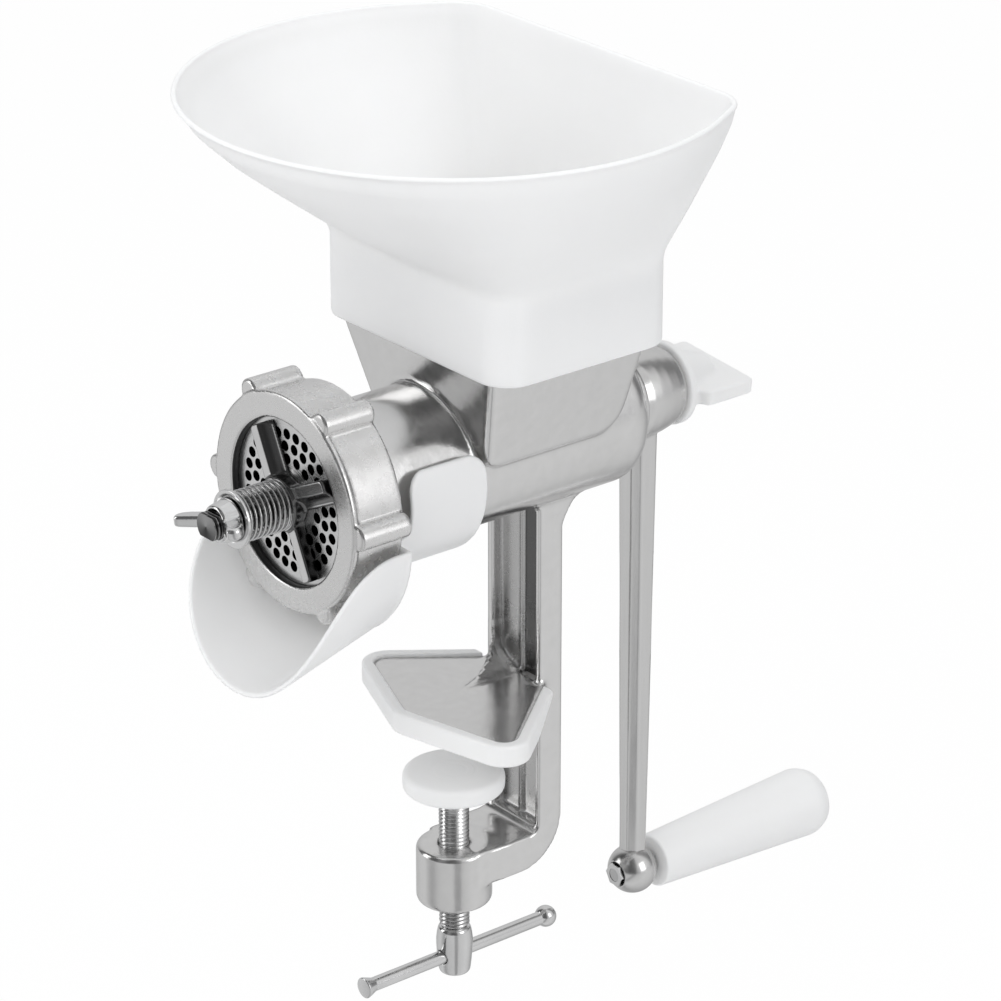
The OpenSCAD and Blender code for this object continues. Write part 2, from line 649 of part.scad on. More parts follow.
// ---- Grip ----
module grip() color("white") difference() {
    on_grip_axis(grip_front_y) rotate_extrude() polygon(concat(
        [[0, 0], [grip_r_near - 1, 0], [grip_r_near, 1]],
        arc([grip_r_far - 8, grip_len - 8], 8, 0, 90, 8), [[0, grip_len + 0.5]]));
    on_grip_axis(grip_front_y - 1) cylinder(r = bolt_r + fit, h = grip_len + 3);
    on_grip_axis(head_seat_y) cylinder(r = bolt_head_r + gap, h = 12);
}
module grip_bolt() color("gray") {
    on_grip_axis(arm_y - ball_r + 0.5) cylinder(r = bolt_r, h = head_seat_y - arm_y + ball_r);
    on_grip_axis(head_seat_y + 0.1) cylinder(r = bolt_head_r, h = bolt_head_h);
}
module grip_nut() color("gray") on_grip_axis(arm_y - ball_r + 0.3) difference() {
    cylinder(r = nut_flats / 2 / cos(30), h = 3.6, $fn = 6);
    translate([0, 0, -1]) cylinder(r = bolt_r + fit, h = 6);
}
module grip_plug() color("white") on_grip_axis(grip_rear_y - 3) cylinder(r = bolt_head_r + gap - 0.02, h = 3.3);

// ---- Hopper ----
module collar_outline(inset) rounded_rect(-collar_half_w + inset, -collar_front + inset,
    collar_half_w - inset, collar_rear - inset, collar_corner_r - inset);
module rim_outline(inset) hull() {
    corner = 20;
    centre_y = rim_rear - 75;
    intersection() {
        translate([0, centre_y]) circle(rim_r - inset, $fn = 64);
        translate([-200, centre_y - 200]) square([400, 240]);
    }
    for (s = [-1, 1])
        translate([s * (rim_back_half_w - corner), rim_rear - corner]) circle(corner - inset, $fn = hull_fn);
}
module hopper() color("whitesmoke") {
    ledge = hopper_wall + gap + throat_wall - 0.5;
    difference() {
        union() {
            translate([0, 0, collar_z]) linear_extrude(collar_h) collar_outline(0);
            hull() {
                translate([0, 0, flare_z - 0.02]) linear_extrude(0.01) collar_outline(0);
                translate([0, 0, rim_z - 0.01]) linear_extrude(0.01) rim_outline(0);
            }
        }
        // the collar's inside, with a ledge that rests on the throat's rim
        translate([0, 0, collar_z - 1]) linear_extrude(throat_top_z + gap - collar_z + 1) collar_outline(hopper_wall);
        translate([0, 0, collar_z]) linear_extrude(collar_h) collar_outline(ledge);
        hull() {
            translate([0, 0, flare_z - 0.03]) linear_extrude(0.01) collar_outline(ledge);
            translate([0, 0, rim_z]) linear_extrude(0.01) rim_outline(hopper_wall);
        }
    }
}

// ---- Chute ----
module scoop_tube(r) translate([0, scoop_back_y, axis_z - scoop_drop]) rotate([90 + scoop_tilt, 0, 0])
    translate([0, 0, -30]) cylinder(r = r, h = 120);
// Side outline of the scoop in Y and Z: level at its rear, steep at its front
module scoop_side() {
    a = scoop_reach + scoop_back_y - ring_front_y - 5;
    b = 110;
    y0 = scoop_back_y - 5;
    polygon(concat([[scoop_back_y, scoop_edge_z - b], [scoop_back_y, scoop_edge_z]],
        [for (i = [0 : 12]) let (t = i * 7.5)
            [y0 - a * sin(t), scoop_edge_z - b * (1 - pow(cos(t), 0.87))]]));
}
module clip_side() {
    r = 8;
    y0 = scoop_back_y + 9;
    y1 = scoop_back_y + clip_len;
    polygon(concat([[scoop_back_y, axis_z - 60], [scoop_back_y, scoop_edge_z], [y0 - 2, scoop_edge_z + 2],
                    [y0, scoop_edge_z + 4]],
        arc([y0 + r, clip_edge_z - r], r, 180, 90, 6),
        arc([y1 - r, clip_edge_z - r], r, 90, 0, 6),
        [[y1, axis_z - 60]]));
}
module chute() color("white") {
    // clip that snaps on the barrel's neck
    intersection() {
        difference() {
            on_axis(scoop_back_y) cylinder(r = clip_r + chute_wall, h = clip_len);
            on_axis(scoop_back_y - 1) cylinder(r = clip_r, h = clip_len + 2);
        }
        rotate([90, 0, 90]) translate([0, 0, -60]) linear_extrude(120) clip_side();
    }
    // scoop under the ring
    intersection() {
        difference() { scoop_tube(scoop_r); scoop_tube(scoop_in_r); }
        rotate([90, 0, 90]) translate([0, 0, -60]) linear_extrude(120) scoop_side();
    }
    // wall that joins them
    difference() {
        intersection() {
            scoop_tube(scoop_r);
            on_axis(scoop_back_y) translate([-60, axis_z - scoop_edge_z, 0]) cube([120, 80, chute_wall]);
        }
        on_axis(scoop_back_y - 1) cylinder(r = clip_r, h = chute_wall + 2);
    }
}

// ---- Clamp screw ----
module clamp_screw() color("gainsboro") {
    ridge = 0.6;
    thread_top = pad_bottom_z - 0.3;
    turns = floor((thread_top - head_top_z) / screw_pitch);
    difference() {
        union() {
            rotate_extrude() polygon(concat([[0, head_top_z]],
                [for (i = [0 : turns - 1], p = [[screw_r - ridge, 0], [screw_r, 0.5], [screw_r - ridge, 1]])
                    [p[0], head_top_z + (i + p[1]) * screw_pitch]],
                [[0, head_top_z + turns * screw_pitch]]));
            translate([0, 0, head_top_z]) cylinder(r = tip_r, h = pad_top_z - 3 - head_top_z);
            rotate_extrude() polygon([[0, head_bottom_z], [head_r - 2.2, head_bottom_z],
                [head_r - 1, head_bottom_z + 1.4], [head_r - 0.3, head_bottom_z + 9], [head_r, head_top_z - 7],
                [head_r - 0.4, head_top_z - 4], [head_r - 1.3, head_top_z], [0, head_top_z]]);
        }
        translate([0, 0, bar_z]) rotate([90, 0, 0]) cylinder(r = bar_r + fit, h = 40, center = true);
    }
}
module pressure_pad() color("white") difference() {
    translate([0, 0, pad_bottom_z]) rotate_extrude() polygon(concat([[0, 0]],
        arc([pad_r - 2, 2], 2, -90, 0, 5), arc([pad_r - 2, pad_t - 2], 2, 0, 90, 5), [[0, pad_t]]));
    translate([0, 0, pad_bottom_z - 1]) cylinder(r = tip_r + fit, h = pad_t - 2);
}
module tommy_bar() color("gainsboro") translate([0, bar_shift, bar_z]) {
    rotate([90, 0, 0]) cylinder(r = bar_r, h = bar_len, center = true);
    translate([0, -bar_len / 2, 0]) rotate([90, 0, 0]) cylinder(r1 = bar_r, r2 = bar_end_r, h = 4);
}
module tommy_bar_cap() color("gainsboro") translate([0, bar_len / 2 + bar_shift, bar_z]) {
    depth = 5;
    rotate([-90, 0, 0]) translate([0, 0, -3]) rotate_extrude() difference() {
        translate([0, 4]) intersection() {
            circle(bar_end_r, $fn = 48);
            translate([0, -3.4]) square(20);
        }
        translate([-1, -1]) square([bar_r + 1 + fit, depth]);
    }
}

body_casting();
rear_bush();
thrust_washer();
jaw_cap();
die_plate();
die_key_pin();
ring_nut();
feed_screw();
drive_shaft();
cross_pin();
cutter();
cutter_spring();
spring_washer();
wing_nut();
crank_arm();
thumb_knob();
thumb_stud();
grip();
grip_bolt();
grip_nut();
grip_plug();
hopper();
chute();
clamp_screw();
pressure_pad();
tommy_bar();
tommy_bar_cap();
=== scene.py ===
"""Dresses the hand-cranked screw mill: polished castings, turned steel and milky moulded plastic.

Shapes are worked out in millimetres in the part's own frame and become metres in the meshes.
"""
import json
import math

import bmesh
import bpy
import numpy as np
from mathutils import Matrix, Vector

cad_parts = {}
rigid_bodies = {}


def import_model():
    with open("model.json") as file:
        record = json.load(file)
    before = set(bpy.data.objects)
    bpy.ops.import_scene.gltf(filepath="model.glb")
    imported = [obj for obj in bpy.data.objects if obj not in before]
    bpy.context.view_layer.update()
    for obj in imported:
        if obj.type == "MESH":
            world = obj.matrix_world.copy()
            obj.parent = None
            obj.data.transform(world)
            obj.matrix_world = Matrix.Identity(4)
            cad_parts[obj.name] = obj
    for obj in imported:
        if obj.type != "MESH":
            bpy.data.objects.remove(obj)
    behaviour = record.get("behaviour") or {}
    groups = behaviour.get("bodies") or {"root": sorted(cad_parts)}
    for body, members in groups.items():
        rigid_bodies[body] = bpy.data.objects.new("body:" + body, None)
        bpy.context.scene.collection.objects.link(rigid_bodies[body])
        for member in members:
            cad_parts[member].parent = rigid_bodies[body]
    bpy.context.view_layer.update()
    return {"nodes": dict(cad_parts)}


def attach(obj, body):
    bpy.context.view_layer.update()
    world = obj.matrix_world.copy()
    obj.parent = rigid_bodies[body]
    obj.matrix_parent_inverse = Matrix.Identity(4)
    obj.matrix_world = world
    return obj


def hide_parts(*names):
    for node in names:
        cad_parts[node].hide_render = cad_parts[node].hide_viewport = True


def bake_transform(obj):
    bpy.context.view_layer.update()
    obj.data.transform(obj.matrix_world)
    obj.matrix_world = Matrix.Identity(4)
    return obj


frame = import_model()
MM = 0.001

# -------- sizes, mm
AXIS_Z = 115.0                      # barrel's axis above the jaw face
BARREL_R, NECK_R, MOUTH_R = 33.0, 35.0, 39.5
MOUTH_Y, REAR_Y = -78.3, 80.5
RING_Y, RING_LEN, RING_R = -82.5, 24.5, 44.55
APERTURE_R, RING_BORE_R = 33.9, 39.55
DIE_Y, DIE_SEAT_R, CHAMBER_R, BUSH_R = -79.3, 36.1, 27.5, 10.6
COLLAR_Z, RIM_Z = 162.5, 265.5      # hopper's lower and upper edges
THROAT_TOP = 192.5
POST_Y, POST_D, POST_W = 31.5, 12.0, 33.0
ARM_TOP, ARM_H, BOSS_R = -59.5, 15.5, 15.7
PLATE_LOW, PLATE_TOP, JAW_RIM = 3.2, 8.2, 4.8
SHAFT_HOLE_R = 6.05                 # in the cutter and the wing nut
EYE_Y, EYE_LEN, ARM_Y = 81.0, 29.5, 97.0    # front and length of the crank's eye, middle of its arm
GRIP_Z = -105.0
SCOOP_Y = -57.7
THREAD_PITCH = 1.75


# -------- meshes
def add_object(name, data):
    """Adds an object with that data to the scene."""
    made = bpy.data.objects.new(name, data)
    bpy.context.scene.collection.objects.link(made)
    return made


def mesh_object(name, points, faces, finish, body, replaced, slot):
    """A piece from points in millimetres, riding on a body and standing for CAD nodes."""
    mesh = bpy.data.meshes.new(name)
    points = np.asarray(points, float) * MM
    faces = faces.tolist() if isinstance(faces, np.ndarray) else [tuple(f) for f in faces]
    mesh.from_pydata(points.tolist(), [], faces)
    mesh.validate()
    mesh.update()
    piece = add_object(name, mesh)
    dress(piece, finish, body, replaced)
    return piece


def smooth(piece):
    piece.data.polygons.foreach_set("use_smooth", [True] * len(piece.data.polygons))


def dress(piece, finish, body, replaced):
    """Gives a piece its finish, its body and what it stands for.

    Instead of one body's name, body may be two names and two y in mm; then the piece is only fixed in place
    and rides on no body.
    """
    piece.data.materials.clear()
    piece.data.materials.append(finish)
    smooth(piece)
    if isinstance(body, str):
        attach(piece, body)
    else:
        held, slid, start, end = body
        start * MM
        end * MM
        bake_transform(piece)
    if replaced:
        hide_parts(*replaced)


def arc(centre, radius, start, end, n):
    """n + 1 points of an arc, angles in degrees."""
    angles = np.radians(np.linspace(start, end, n + 1))
    return [(centre[0] + radius * math.cos(a), centre[1] + radius * math.sin(a)) for a in angles]


def softened(profile, radius, n=4):
    """The profile with its inner corners rounded to the radius, or to what fits there.

    A third number in a point is that corner's own radius.
    """
    pts = [np.array(p[:2], float) for p in profile]
    radii = [p[2] if len(p) > 2 else radius for p in profile]
    out = [tuple(pts[0])]
    for a, b, c, r in zip(pts, pts[1:], pts[2:], radii[1:]):
        u, v = a - b, c - b
        lu, lv = np.linalg.norm(u), np.linalg.norm(v)
        if r <= 0 or lu < 1e-6 or lv < 1e-6:
            out.append(tuple(b))
            continue
        u, v = u / lu, v / lv
        half = math.acos(max(-1, min(1, float(u @ v)))) / 2
        cut = min(r / max(math.tan(half), 1e-3), 0.48 * lu, 0.48 * lv)
        for t in np.linspace(0, 1, n + 1):
            p = b + (1 - t) ** 2 * cut * u + t ** 2 * cut * v
            out.append(tuple(p))
    out.append(tuple(pts[-1]))
    return out


def lathe(profile, centre=(0.0, 0.0), along="y", sides=96):
    """Points and faces of a turned solid. The profile is (place along the axis, radius), in order."""
    steps = zip(profile, profile[1:])
    profile = profile[:1] + [q for p, q in steps if abs(q[0] - p[0]) + abs(q[1] - p[1]) > 1e-5]
    points, rings, faces = [], [], []
    turn = np.linspace(0, 2 * math.pi, sides, endpoint=False)
    for place, r in profile:
        if r < 1e-6:
            rings.append([len(points)] * sides)
            points.append((centre[0], place, centre[1]) if along == "y" else (centre[0], centre[1], place))
            continue
        rings.append(list(range(len(points), len(points) + sides)))
        for a in turn:
            u, v = centre[0] + r * math.cos(a), centre[1] + r * math.sin(a)
            points.append((u, place, v) if along == "y" else (u, v, place))
    closed = profile[0][1] > 1e-6 and profile[-1][1] > 1e-6
    pairs = list(zip(rings, rings[1:])) + ([(rings[-1], rings[0])] if closed else [])
    for low, high in pairs:
        for i in range(sides):
            j = (i + 1) % sides
            face = []
            for k in (low[i], low[j], high[j], high[i]):
                if k not in face:
                    face.append(k)
            if len(face) > 2:
                faces.append(face)
    return points, faces


def outward(piece):
    """Merges a closed piece's doubles and turns its faces outwards."""
    bm = bmesh.new()
    bm.from_mesh(piece.data)
    bmesh.ops.remove_doubles(bm, verts=bm.verts, dist=1e-7)
    bmesh.ops.recalc_face_normals(bm, faces=bm.faces)
    bm.to_mesh(piece.data)
    bm.free()
    smooth(piece)


def turned(name, profile, finish, body, replaced, slot, **how):
    """A turned piece, closed and facing outwards."""
    outward(mesh_object(name, *lathe(profile, **how), finish, body, replaced, slot))


# -------- blended castings
# A shape is a function of x, y, z that is negative inside and roughly the distance to its surface.
def join(a, b, k):
    """Union with a fillet of about k."""
    h = np.clip(0.5 + 0.5 * (b - a) / k, 0, 1)
    return b + (a - b) * h - k * h * (1 - h)


def meet(a, b, k):
    """Intersection with an edge rounded to about k."""
    return -join(-a, -b, k)


def take(a, b, k):
    """a without b, with an edge rounded to about k."""
    return meet(a, -b, k)


def rounded_box(x, y, z, low, high, r):
    """Distance to a box between two corners, its edges rounded to r."""
    low, high = np.array(low, float), np.array(high, float)
    mid, half = (low + high) / 2, (high - low) / 2 - r
    q = [np.abs(p - m) - h for p, m, h in zip((x, y, z), mid, half)]
    outside = np.sqrt(sum(np.maximum(p, 0) ** 2 for p in q))
    return outside + np.minimum(np.maximum(np.maximum(q[0], q[1]), q[2]), 0) - r


def spokes(x, h, count, start=0.0):
    """Places along and across the nearest of so many even spokes, the first at an angle in degrees."""
    turn = math.radians(360 / count)
    angle = np.arctan2(h, x) - math.radians(start)
    angle = angle - turn * np.round(angle / turn)
    return np.hypot(x, h) * np.cos(angle), np.hypot(x, h) * np.sin(angle)


def capped(radial, along, low, high, k):
    """A radial distance closed by two end planes with edges rounded to about k."""
    return meet(meet(radial, low - along, k), along - high, k)


def polygon_distance(u, v, corners):
    """Signed distance to a polygon in two coordinates."""
    d = np.full(np.shape(u), 1e9)
    inside = np.zeros(np.shape(u), bool)
    for (ax, ay), (bx, by) in zip(corners, corners[1:] + corners[:1]):
        ex, ey = bx - ax, by - ay
        wx, wy = u - ax, v - ay
        t = np.clip((wx * ex + wy * ey) / (ex * ex + ey * ey), 0, 1)
        d = np.minimum(d, (wx - ex * t) ** 2 + (wy - ey * t) ** 2)
        fall = by - ay if by != ay else 1e-9
        inside ^= ((ay > v) != (by > v)) & (u < (bx - ax) * (v - ay) / fall + ax)
    return np.where(inside, -1, 1) * np.sqrt(d)


def skin(shape, low, high, step):
    """Points and quads of the surface of a shape inside a box, by surface nets."""
    low, high = np.array(low, float) - 1.5 * step, np.array(high, float) + 1.5 * step
    count = np.ceil((high - low) / step).astype(int) + 1
    axes = [low[i] + step * np.arange(count[i]) for i in range(3)]
    field = np.empty(count, np.float32)
    slab = max(1, int(3e6 // (count[1] * count[2])))
    for i in range(0, count[0], slab):
        x, y, z = np.meshgrid(axes[0][i:i + slab], axes[1], axes[2], indexing="ij")
        field[i:i + slab] = shape(x, y, z)
    inside = field < 0
    cells = np.zeros(count - 1, np.uint8)
    for dx, dy, dz in np.ndindex(2, 2, 2):
        cells += inside[dx:count[0] - 1 + dx, dy:count[1] - 1 + dy, dz:count[2] - 1 + dz]
    active = np.argwhere((cells > 0) & (cells < 8))
    number = np.full(count - 1, -1, np.int32)
    number[tuple(active.T)] = np.arange(len(active))
    total, hits = np.zeros((len(active), 3)), np.zeros(len(active))
    unit = np.eye(3, dtype=int)
    for axis, a, b in np.ndindex(3, 2, 2):
        start = active + np.insert([a, b], axis, 0)
        end = start + unit[axis]
        f0, f1 = field[tuple(start.T)], field[tuple(end.T)]
        cross = (f0 < 0) != (f1 < 0)
        t = np.where(cross, f0 / np.where(cross, f0 - f1, 1), 0)
        place = start.astype(float)
        place[:, axis] += t
        total += place * cross[:, None]
        hits += cross
    points = low + step * total / hits[:, None]
    # two steps down the slope put the points on the surface
    for _ in range(2):
        p = points.T
        f = shape(*p)
        e = 0.05 * step
        grad = np.stack([shape(*(p + e * along[:, None])) - f for along in unit]) / e
        size = np.maximum((grad ** 2).sum(0), 0.2)
        move = np.clip(-f / size, -0.5 * step, 0.5 * step)
        points = points + (grad * move).T
    quads = []
    for axis in range(3):
        u, v = (axis + 1) % 3, (axis + 2) % 3
        ends = [slice(None)] * 3
        starts = [slice(None)] * 3
        ends[axis], starts[axis] = slice(1, None), slice(None, -1)
        edge = np.argwhere(inside[tuple(starts)] != inside[tuple(ends)])
        edge = edge[((edge[:, [u, v]] > 0) & (edge[:, [u, v]] < count[[u, v]] - 1)).all(1)]
        leaving = inside[tuple(edge.T)]
        eu, ev = unit[u], unit[v]
        ring = np.stack([number[tuple((edge - eu - ev).T)], number[tuple((edge - ev).T)],
                         number[tuple(edge.T)], number[tuple((edge - eu).T)]], 1)
        ring[~leaving] = ring[~leaving][:, ::-1]
        quads.append(ring)
    return points, np.concatenate(quads)


def cast(name, shape, low, high, step, finish, body, replaced, slot):
    """A piece of a blended shape, meshed inside a box in steps of that many millimetres."""
    mesh_object(name, *skin(shape, low, high, step * (1)), finish, body, replaced, slot)


# -------- finishes
class Wire:
    """One output of a node. Arithmetic on it adds Math nodes."""

    def __init__(self, sheet, socket):
        self.sheet, self.socket = sheet, socket

    def math(self, operation, *values):
        return self.sheet.math(operation, *values)

    def __add__(self, other): return self.math("ADD", self, other)
    def __radd__(self, other): return self.math("ADD", other, self)
    def __sub__(self, other): return self.math("SUBTRACT", self, other)
    def __rsub__(self, other): return self.math("SUBTRACT", other, self)
    def __mul__(self, other): return self.math("MULTIPLY", self, other)
    def __rmul__(self, other): return self.math("MULTIPLY", other, self)
    def __truediv__(self, other): return self.math("DIVIDE", self, other)
    def above(self, level): return self.math("GREATER_THAN", self, level)
    def power(self, n): return self.math("POWER", self, n)


class Sheet:
    """The node tree of one material or world."""

    def __init__(self, tree):
        self.tree = tree
        tree.nodes.clear()

    def node(self, kind, settings=None, *values, out=0, **named):
        made = self.tree.nodes.new(kind)
        for key, value in (settings or {}).items():
            if key == "stops":
                ramp = made.color_ramp.elements
                while len(ramp) < len(value):
                    ramp.new(0.5)
                for stop, (place, colour) in zip(ramp, value):
                    stop.position, stop.color = place, colour
            else:
                setattr(made, key, value)
        for key, value in list(enumerate(values)) + [(k.replace("_", " "), v) for k, v in named.items()]:
            self.put(made.inputs[key], value)
        return Wire(self, made.outputs[out])

    def put(self, socket, value):
        if isinstance(value, Wire):
            self.tree.links.new(value.socket, socket)
        elif value is not None:
            socket.default_value = value

    def math(self, operation, *values):
        return self.node("ShaderNodeMath", {"operation": operation}, *values)

    def place(self, size=(1, 1, 1), centre=(0, 0, 0)):
        """Object coordinates in millimetres from a centre, scaled along each axis."""
        where = self.node("ShaderNodeTexCoord", out=3)
        moved = self.node("ShaderNodeVectorMath", {"operation": "SUBTRACT"}, where,
                          tuple(c * MM for c in centre))
        return self.node("ShaderNodeMapping", {"vector_type": "POINT"}, moved, (0, 0, 0), (0, 0, 0),
                         tuple(1000 * s for s in size))

    def noise(self, size, detail=3.0, rough=0.5, where=None):
        """Even noise with features of about that many millimetres."""
        return self.node("ShaderNodeTexNoise", None, Vector=where or self.place(), Scale=1.0 / size,
                         Detail=detail, Roughness=rough)

    def part(self, wire, name):
        return self.node("ShaderNodeSeparateXYZ", None, wire, out="XYZ".index(name))

    def ramp(self, stops, wire):
        return self.node("ShaderNodeValToRGB", {"stops": stops}, wire)

    def blend(self, factor, a, b):
        """The colour a where the factor is 0 and b where it is 1."""
        made = self.tree.nodes.new("ShaderNodeMix")
        made.data_type = "RGBA"
        self.put(made.inputs[0], factor)
        self.put(made.inputs[6], a)
        self.put(made.inputs[7], b)
        return Wire(self, made.outputs[2])

    def bump(self, height, distance):
        """Relief of a height between 0 and 1 with that many millimetres from low to high."""
        return self.node("ShaderNodeBump", None, Strength=1.0, Distance=distance * MM, Height=height)

    def end(self, kind, wire):
        last = self.tree.nodes.new(kind)
        self.tree.links.new(wire.socket, last.inputs[0])


def finish(name):
    material = bpy.data.materials.new(name)
    material.use_nodes = True
    return material, Sheet(material.node_tree)


def shade(sheet, **values):
    """The surface itself: constants go on its sockets, links only where the look changes."""
    made = sheet.tree.nodes.new("ShaderNodeBsdfPrincipled")
    for key, value in values.items():
        sheet.put(made.inputs[key.replace("_", " ")], value)
    sheet.end("ShaderNodeOutputMaterial", Wire(sheet, made.outputs[0]))


def grey(v, warm=0.0):
    return (v * (1 + warm), v, v * (1 - warm), 1)


def between(low, wire, high):
    """1 where the value lies between two levels, else 0."""
    return (wire - low).above(0) * (high - wire).above(0)


def polished_casting(name, bright, dull, rough, relief=0.28, streak=1.0, painted_inner_shade=None):
    """Buffed aluminium: gentle waves left by the wheel, faint haze, and a rough bore painted dark as shade.

    The painted-shade argument is the bore's radius and the y where it starts and ends.
    """
    material, s = finish(name)
    waves = s.noise(16, 2.0, 0.4, s.place((1, 1, streak)))
    haze = s.noise(5, 4.0, 0.6, s.place((1, 1, streak)))
    grain = s.noise(0.7, 3.0, 0.6)
    colour = s.blend(haze, grey(dull, 0.006), grey(bright, 0.004))
    roughness = rough + (haze - 0.5) * rough * 0.9 + (grain - 0.5) * 0.04
    if painted_inner_shade:
        bore_r, from_y, to_y = painted_inner_shade
        where = s.place(centre=(0, 0, AXIS_Z))
        x, y, h = (s.part(where, axis) for axis in "XYZ")
        bore = (bore_r - (x * x + h * h).power(0.5)).above(0) * between(from_y, y, to_y)
        # painted shade: inside the bore the colour is nearly black
        colour = s.blend(bore, colour, grey(0.1))
        # painted shade: the post's channel is coloured dark, most of all its near half; it is also a little
        # rougher, as the wheel doesn't reach into it
        channel = between(POST_Y + 3.5, y, POST_Y + 5.2) * ((POST_W / 2 - 2.4) ** 2 - x * x).above(0)
        channel = channel * (h + (AXIS_Z - ARM_TOP - 2)).above(0)
        near_half_shade = channel * (x - 1.6).above(0) * (h + (AXIS_Z - 8)).above(0)
        colour = s.blend(channel * 0.3 + near_half_shade * 0.6, colour, grey(0.05))
        roughness = roughness + bore * 0.3 + channel * 0.08
    shade(s, Base_Color=colour, Metallic=1.0, Roughness=roughness,
          Normal=s.bump(waves * 0.75 + haze * 0.22 + grain * 0.03, relief))
    return material


def turned_metal(name, tone, rough, rings, centre=(0, 0, AXIS_Z), along="y", coarse=0.6, painted_side_shade=None,
                 thread_from=None):
    """Machined steel with the fine rings that the tool leaves round its axis.

    The painted side shade is how squarely a face must look along the axis, squared, to keep its colour, and
    the tone of the shade painted on the others. thread_from is the y in mm where a thread starts toward the
    front.
    """
    material, s = finish(name)
    fine = s.noise(0.5, 2.0, 0.5)
    patch = s.noise(9, 3.0, 0.5)
    where = s.place(centre=centre)
    a, b, line = (s.part(where, axis) for axis in ("XZY" if along == "y" else "XYZ"))
    radius = (a * a + b * b).power(0.5)
    groove = s.node("ShaderNodeTexNoise", {"noise_dimensions": "1D"}, W=radius + line * 0.9,
                    Scale=1.0 / coarse, Detail=3.0, Roughness=0.7)
    colour = s.blend(patch, grey(tone * 0.86), grey(tone))
    height, deep = groove * rings + fine * (1 - rings) * 0.3, 0.05
    # painted shade: faces that don't look along the axis, such as the walls of holes, take a dark tone
    if painted_side_shade:
        limit, side_shade_tone = painted_side_shade
        facing = s.part(s.node("ShaderNodeNewGeometry", out=1), "Y")
        colour = s.blend((limit - facing * facing).above(0), colour, grey(side_shade_tone))
    if thread_from is not None:
        helix = s.math("SINE", line * (2 * math.pi / THREAD_PITCH) + s.math("ARCTAN2", b, a)) * 0.5 + 0.5
        threaded = (thread_from - line).above(0)
        # painted shade: the thread is coloured darker, near black in its grooves
        colour = s.blend(threaded * (1 - helix * 0.6), colour, grey(0.04))
        height, deep = height * 0.1 + helix * threaded * 0.9, 0.5
    shade(s, Base_Color=colour, Metallic=1.0,
          Roughness=rough + (groove - 0.5) * 0.18 * (rings + 0.2) + (patch - 0.5) * 0.06,
          Normal=s.bump(height, deep))
    return material


def moulded(name, tone, rough, depth, soft, relief=0.02):
    """Milky moulded plastic: light sinks in a little, and the skin is very finely grained."""
    material, s = finish(name)
    cloud = s.noise(30, 2.0, 0.5)
    skin_grain = s.noise(0.9, 3.0, 0.6)
    flow = s.noise(7, 3.0, 0.5, s.place((1, 1, 0.35)))
    colour = s.blend(cloud * 0.6 + flow * 0.4, (tone * 0.975, tone * 0.975, tone * 0.97, 1),
                     (tone, tone, tone * 0.995, 1))
    shade(s, Base_Color=colour, Metallic=0.0,
          Roughness=rough + (flow - 0.5) * 0.1 + (skin_grain - 0.5) * 0.08, IOR=1.5,
          Subsurface_Weight=soft, Subsurface_Radius=(1.0, 0.98, 0.94), Subsurface_Scale=depth * MM,
          Normal=s.bump(skin_grain * 0.7 + flow * 0.3, relief))
    return material


def turned_bronze(name):
    """Bearing bronze with patches of brighter metal."""
    material, s = finish(name)
    patch = s.noise(4, 3.0, 0.6)
    shade(s, Base_Color=s.blend(patch, (0.42, 0.27, 0.13, 1), (0.6, 0.42, 0.22, 1)), Metallic=1.0,
          Roughness=0.3 + patch * 0.15, Normal=s.bump(s.noise(0.6), 0.02))
    return material


# the barrel's chamber and the ring's aperture wall get painted shade
CASTING = polished_casting("buffed_casting", 0.78, 0.68, 0.2, painted_inner_shade=(28.6, DIE_Y + 4, REAR_Y - 10))
RING_METAL = polished_casting("satin_ring_casting", 0.77, 0.71, 0.27, relief=0.1,
                              painted_inner_shade=(APERTURE_R + 0.4, RING_Y + 0.3, 0))
CRANK_METAL = polished_casting("buffed_crank", 0.74, 0.64, 0.22, streak=0.15)
# the die's hole walls and the cutter's blade sides are painted dark as shade
DIE_STEEL = turned_metal("ground_die", 0.78, 0.26, 0.6, coarse=0.9, painted_side_shade=(0.3, 0.03))
CUTTER_STEEL = turned_metal("cutter_steel", 0.74, 0.2, 0.35, painted_side_shade=(0.88, 0.16))
SHAFT_STEEL = turned_metal("shaft_steel", 0.6, 0.22, 0.5, thread_from=-86.0)
WIRE_STEEL = turned_metal("spring_wire", 0.66, 0.16, 0.2)
PLATED = turned_metal("bright_plate", 0.78, 0.13, 0.3, (0, 0, 0), along="z")
ROLLED = turned_metal("rolled_thread", 0.74, 0.27, 0.2, (0, 0, 0), along="z")
PLATED_NUT = turned_metal("bright_nut", 0.78, 0.16, 0.15)
TINNED = polished_casting("tinned_screw", 0.3, 0.2, 0.4)
BRONZE = turned_bronze("turned_bronze")
NYLON = moulded("nylon_washer", 0.78, 0.5, 1.5, 0.3)
HOPPER_MILK = moulded("hopper_milk", 0.885, 0.42, 6.0, 0.35, relief=0.05)
CHUTE_MILK = moulded("chute_milk", 0.85, 0.36, 4.0, 0.35, relief=0.03)
CAP_WHITE = moulded("cap_white", 0.86, 0.36, 3.0, 0.3)
PAD_WHITE = moulded("pad_white", 0.85, 0.42, 3.0, 0.3)
GRIP_WHITE = moulded("grip_white", 0.85, 0.4, 4.0, 0.3, relief=0.03)


# -------- frame casting
def neck_radius(y):
    """The barrel's radius along it: mouth flange, neck, then the body behind the clip."""
    return np.interp(y, [MOUTH_Y, MOUTH_Y + 17, MOUTH_Y + 21, -8, 24, 60, 200],
                     [MOUTH_R, MOUTH_R, NECK_R, NECK_R, BARREL_R, BARREL_R, BARREL_R])


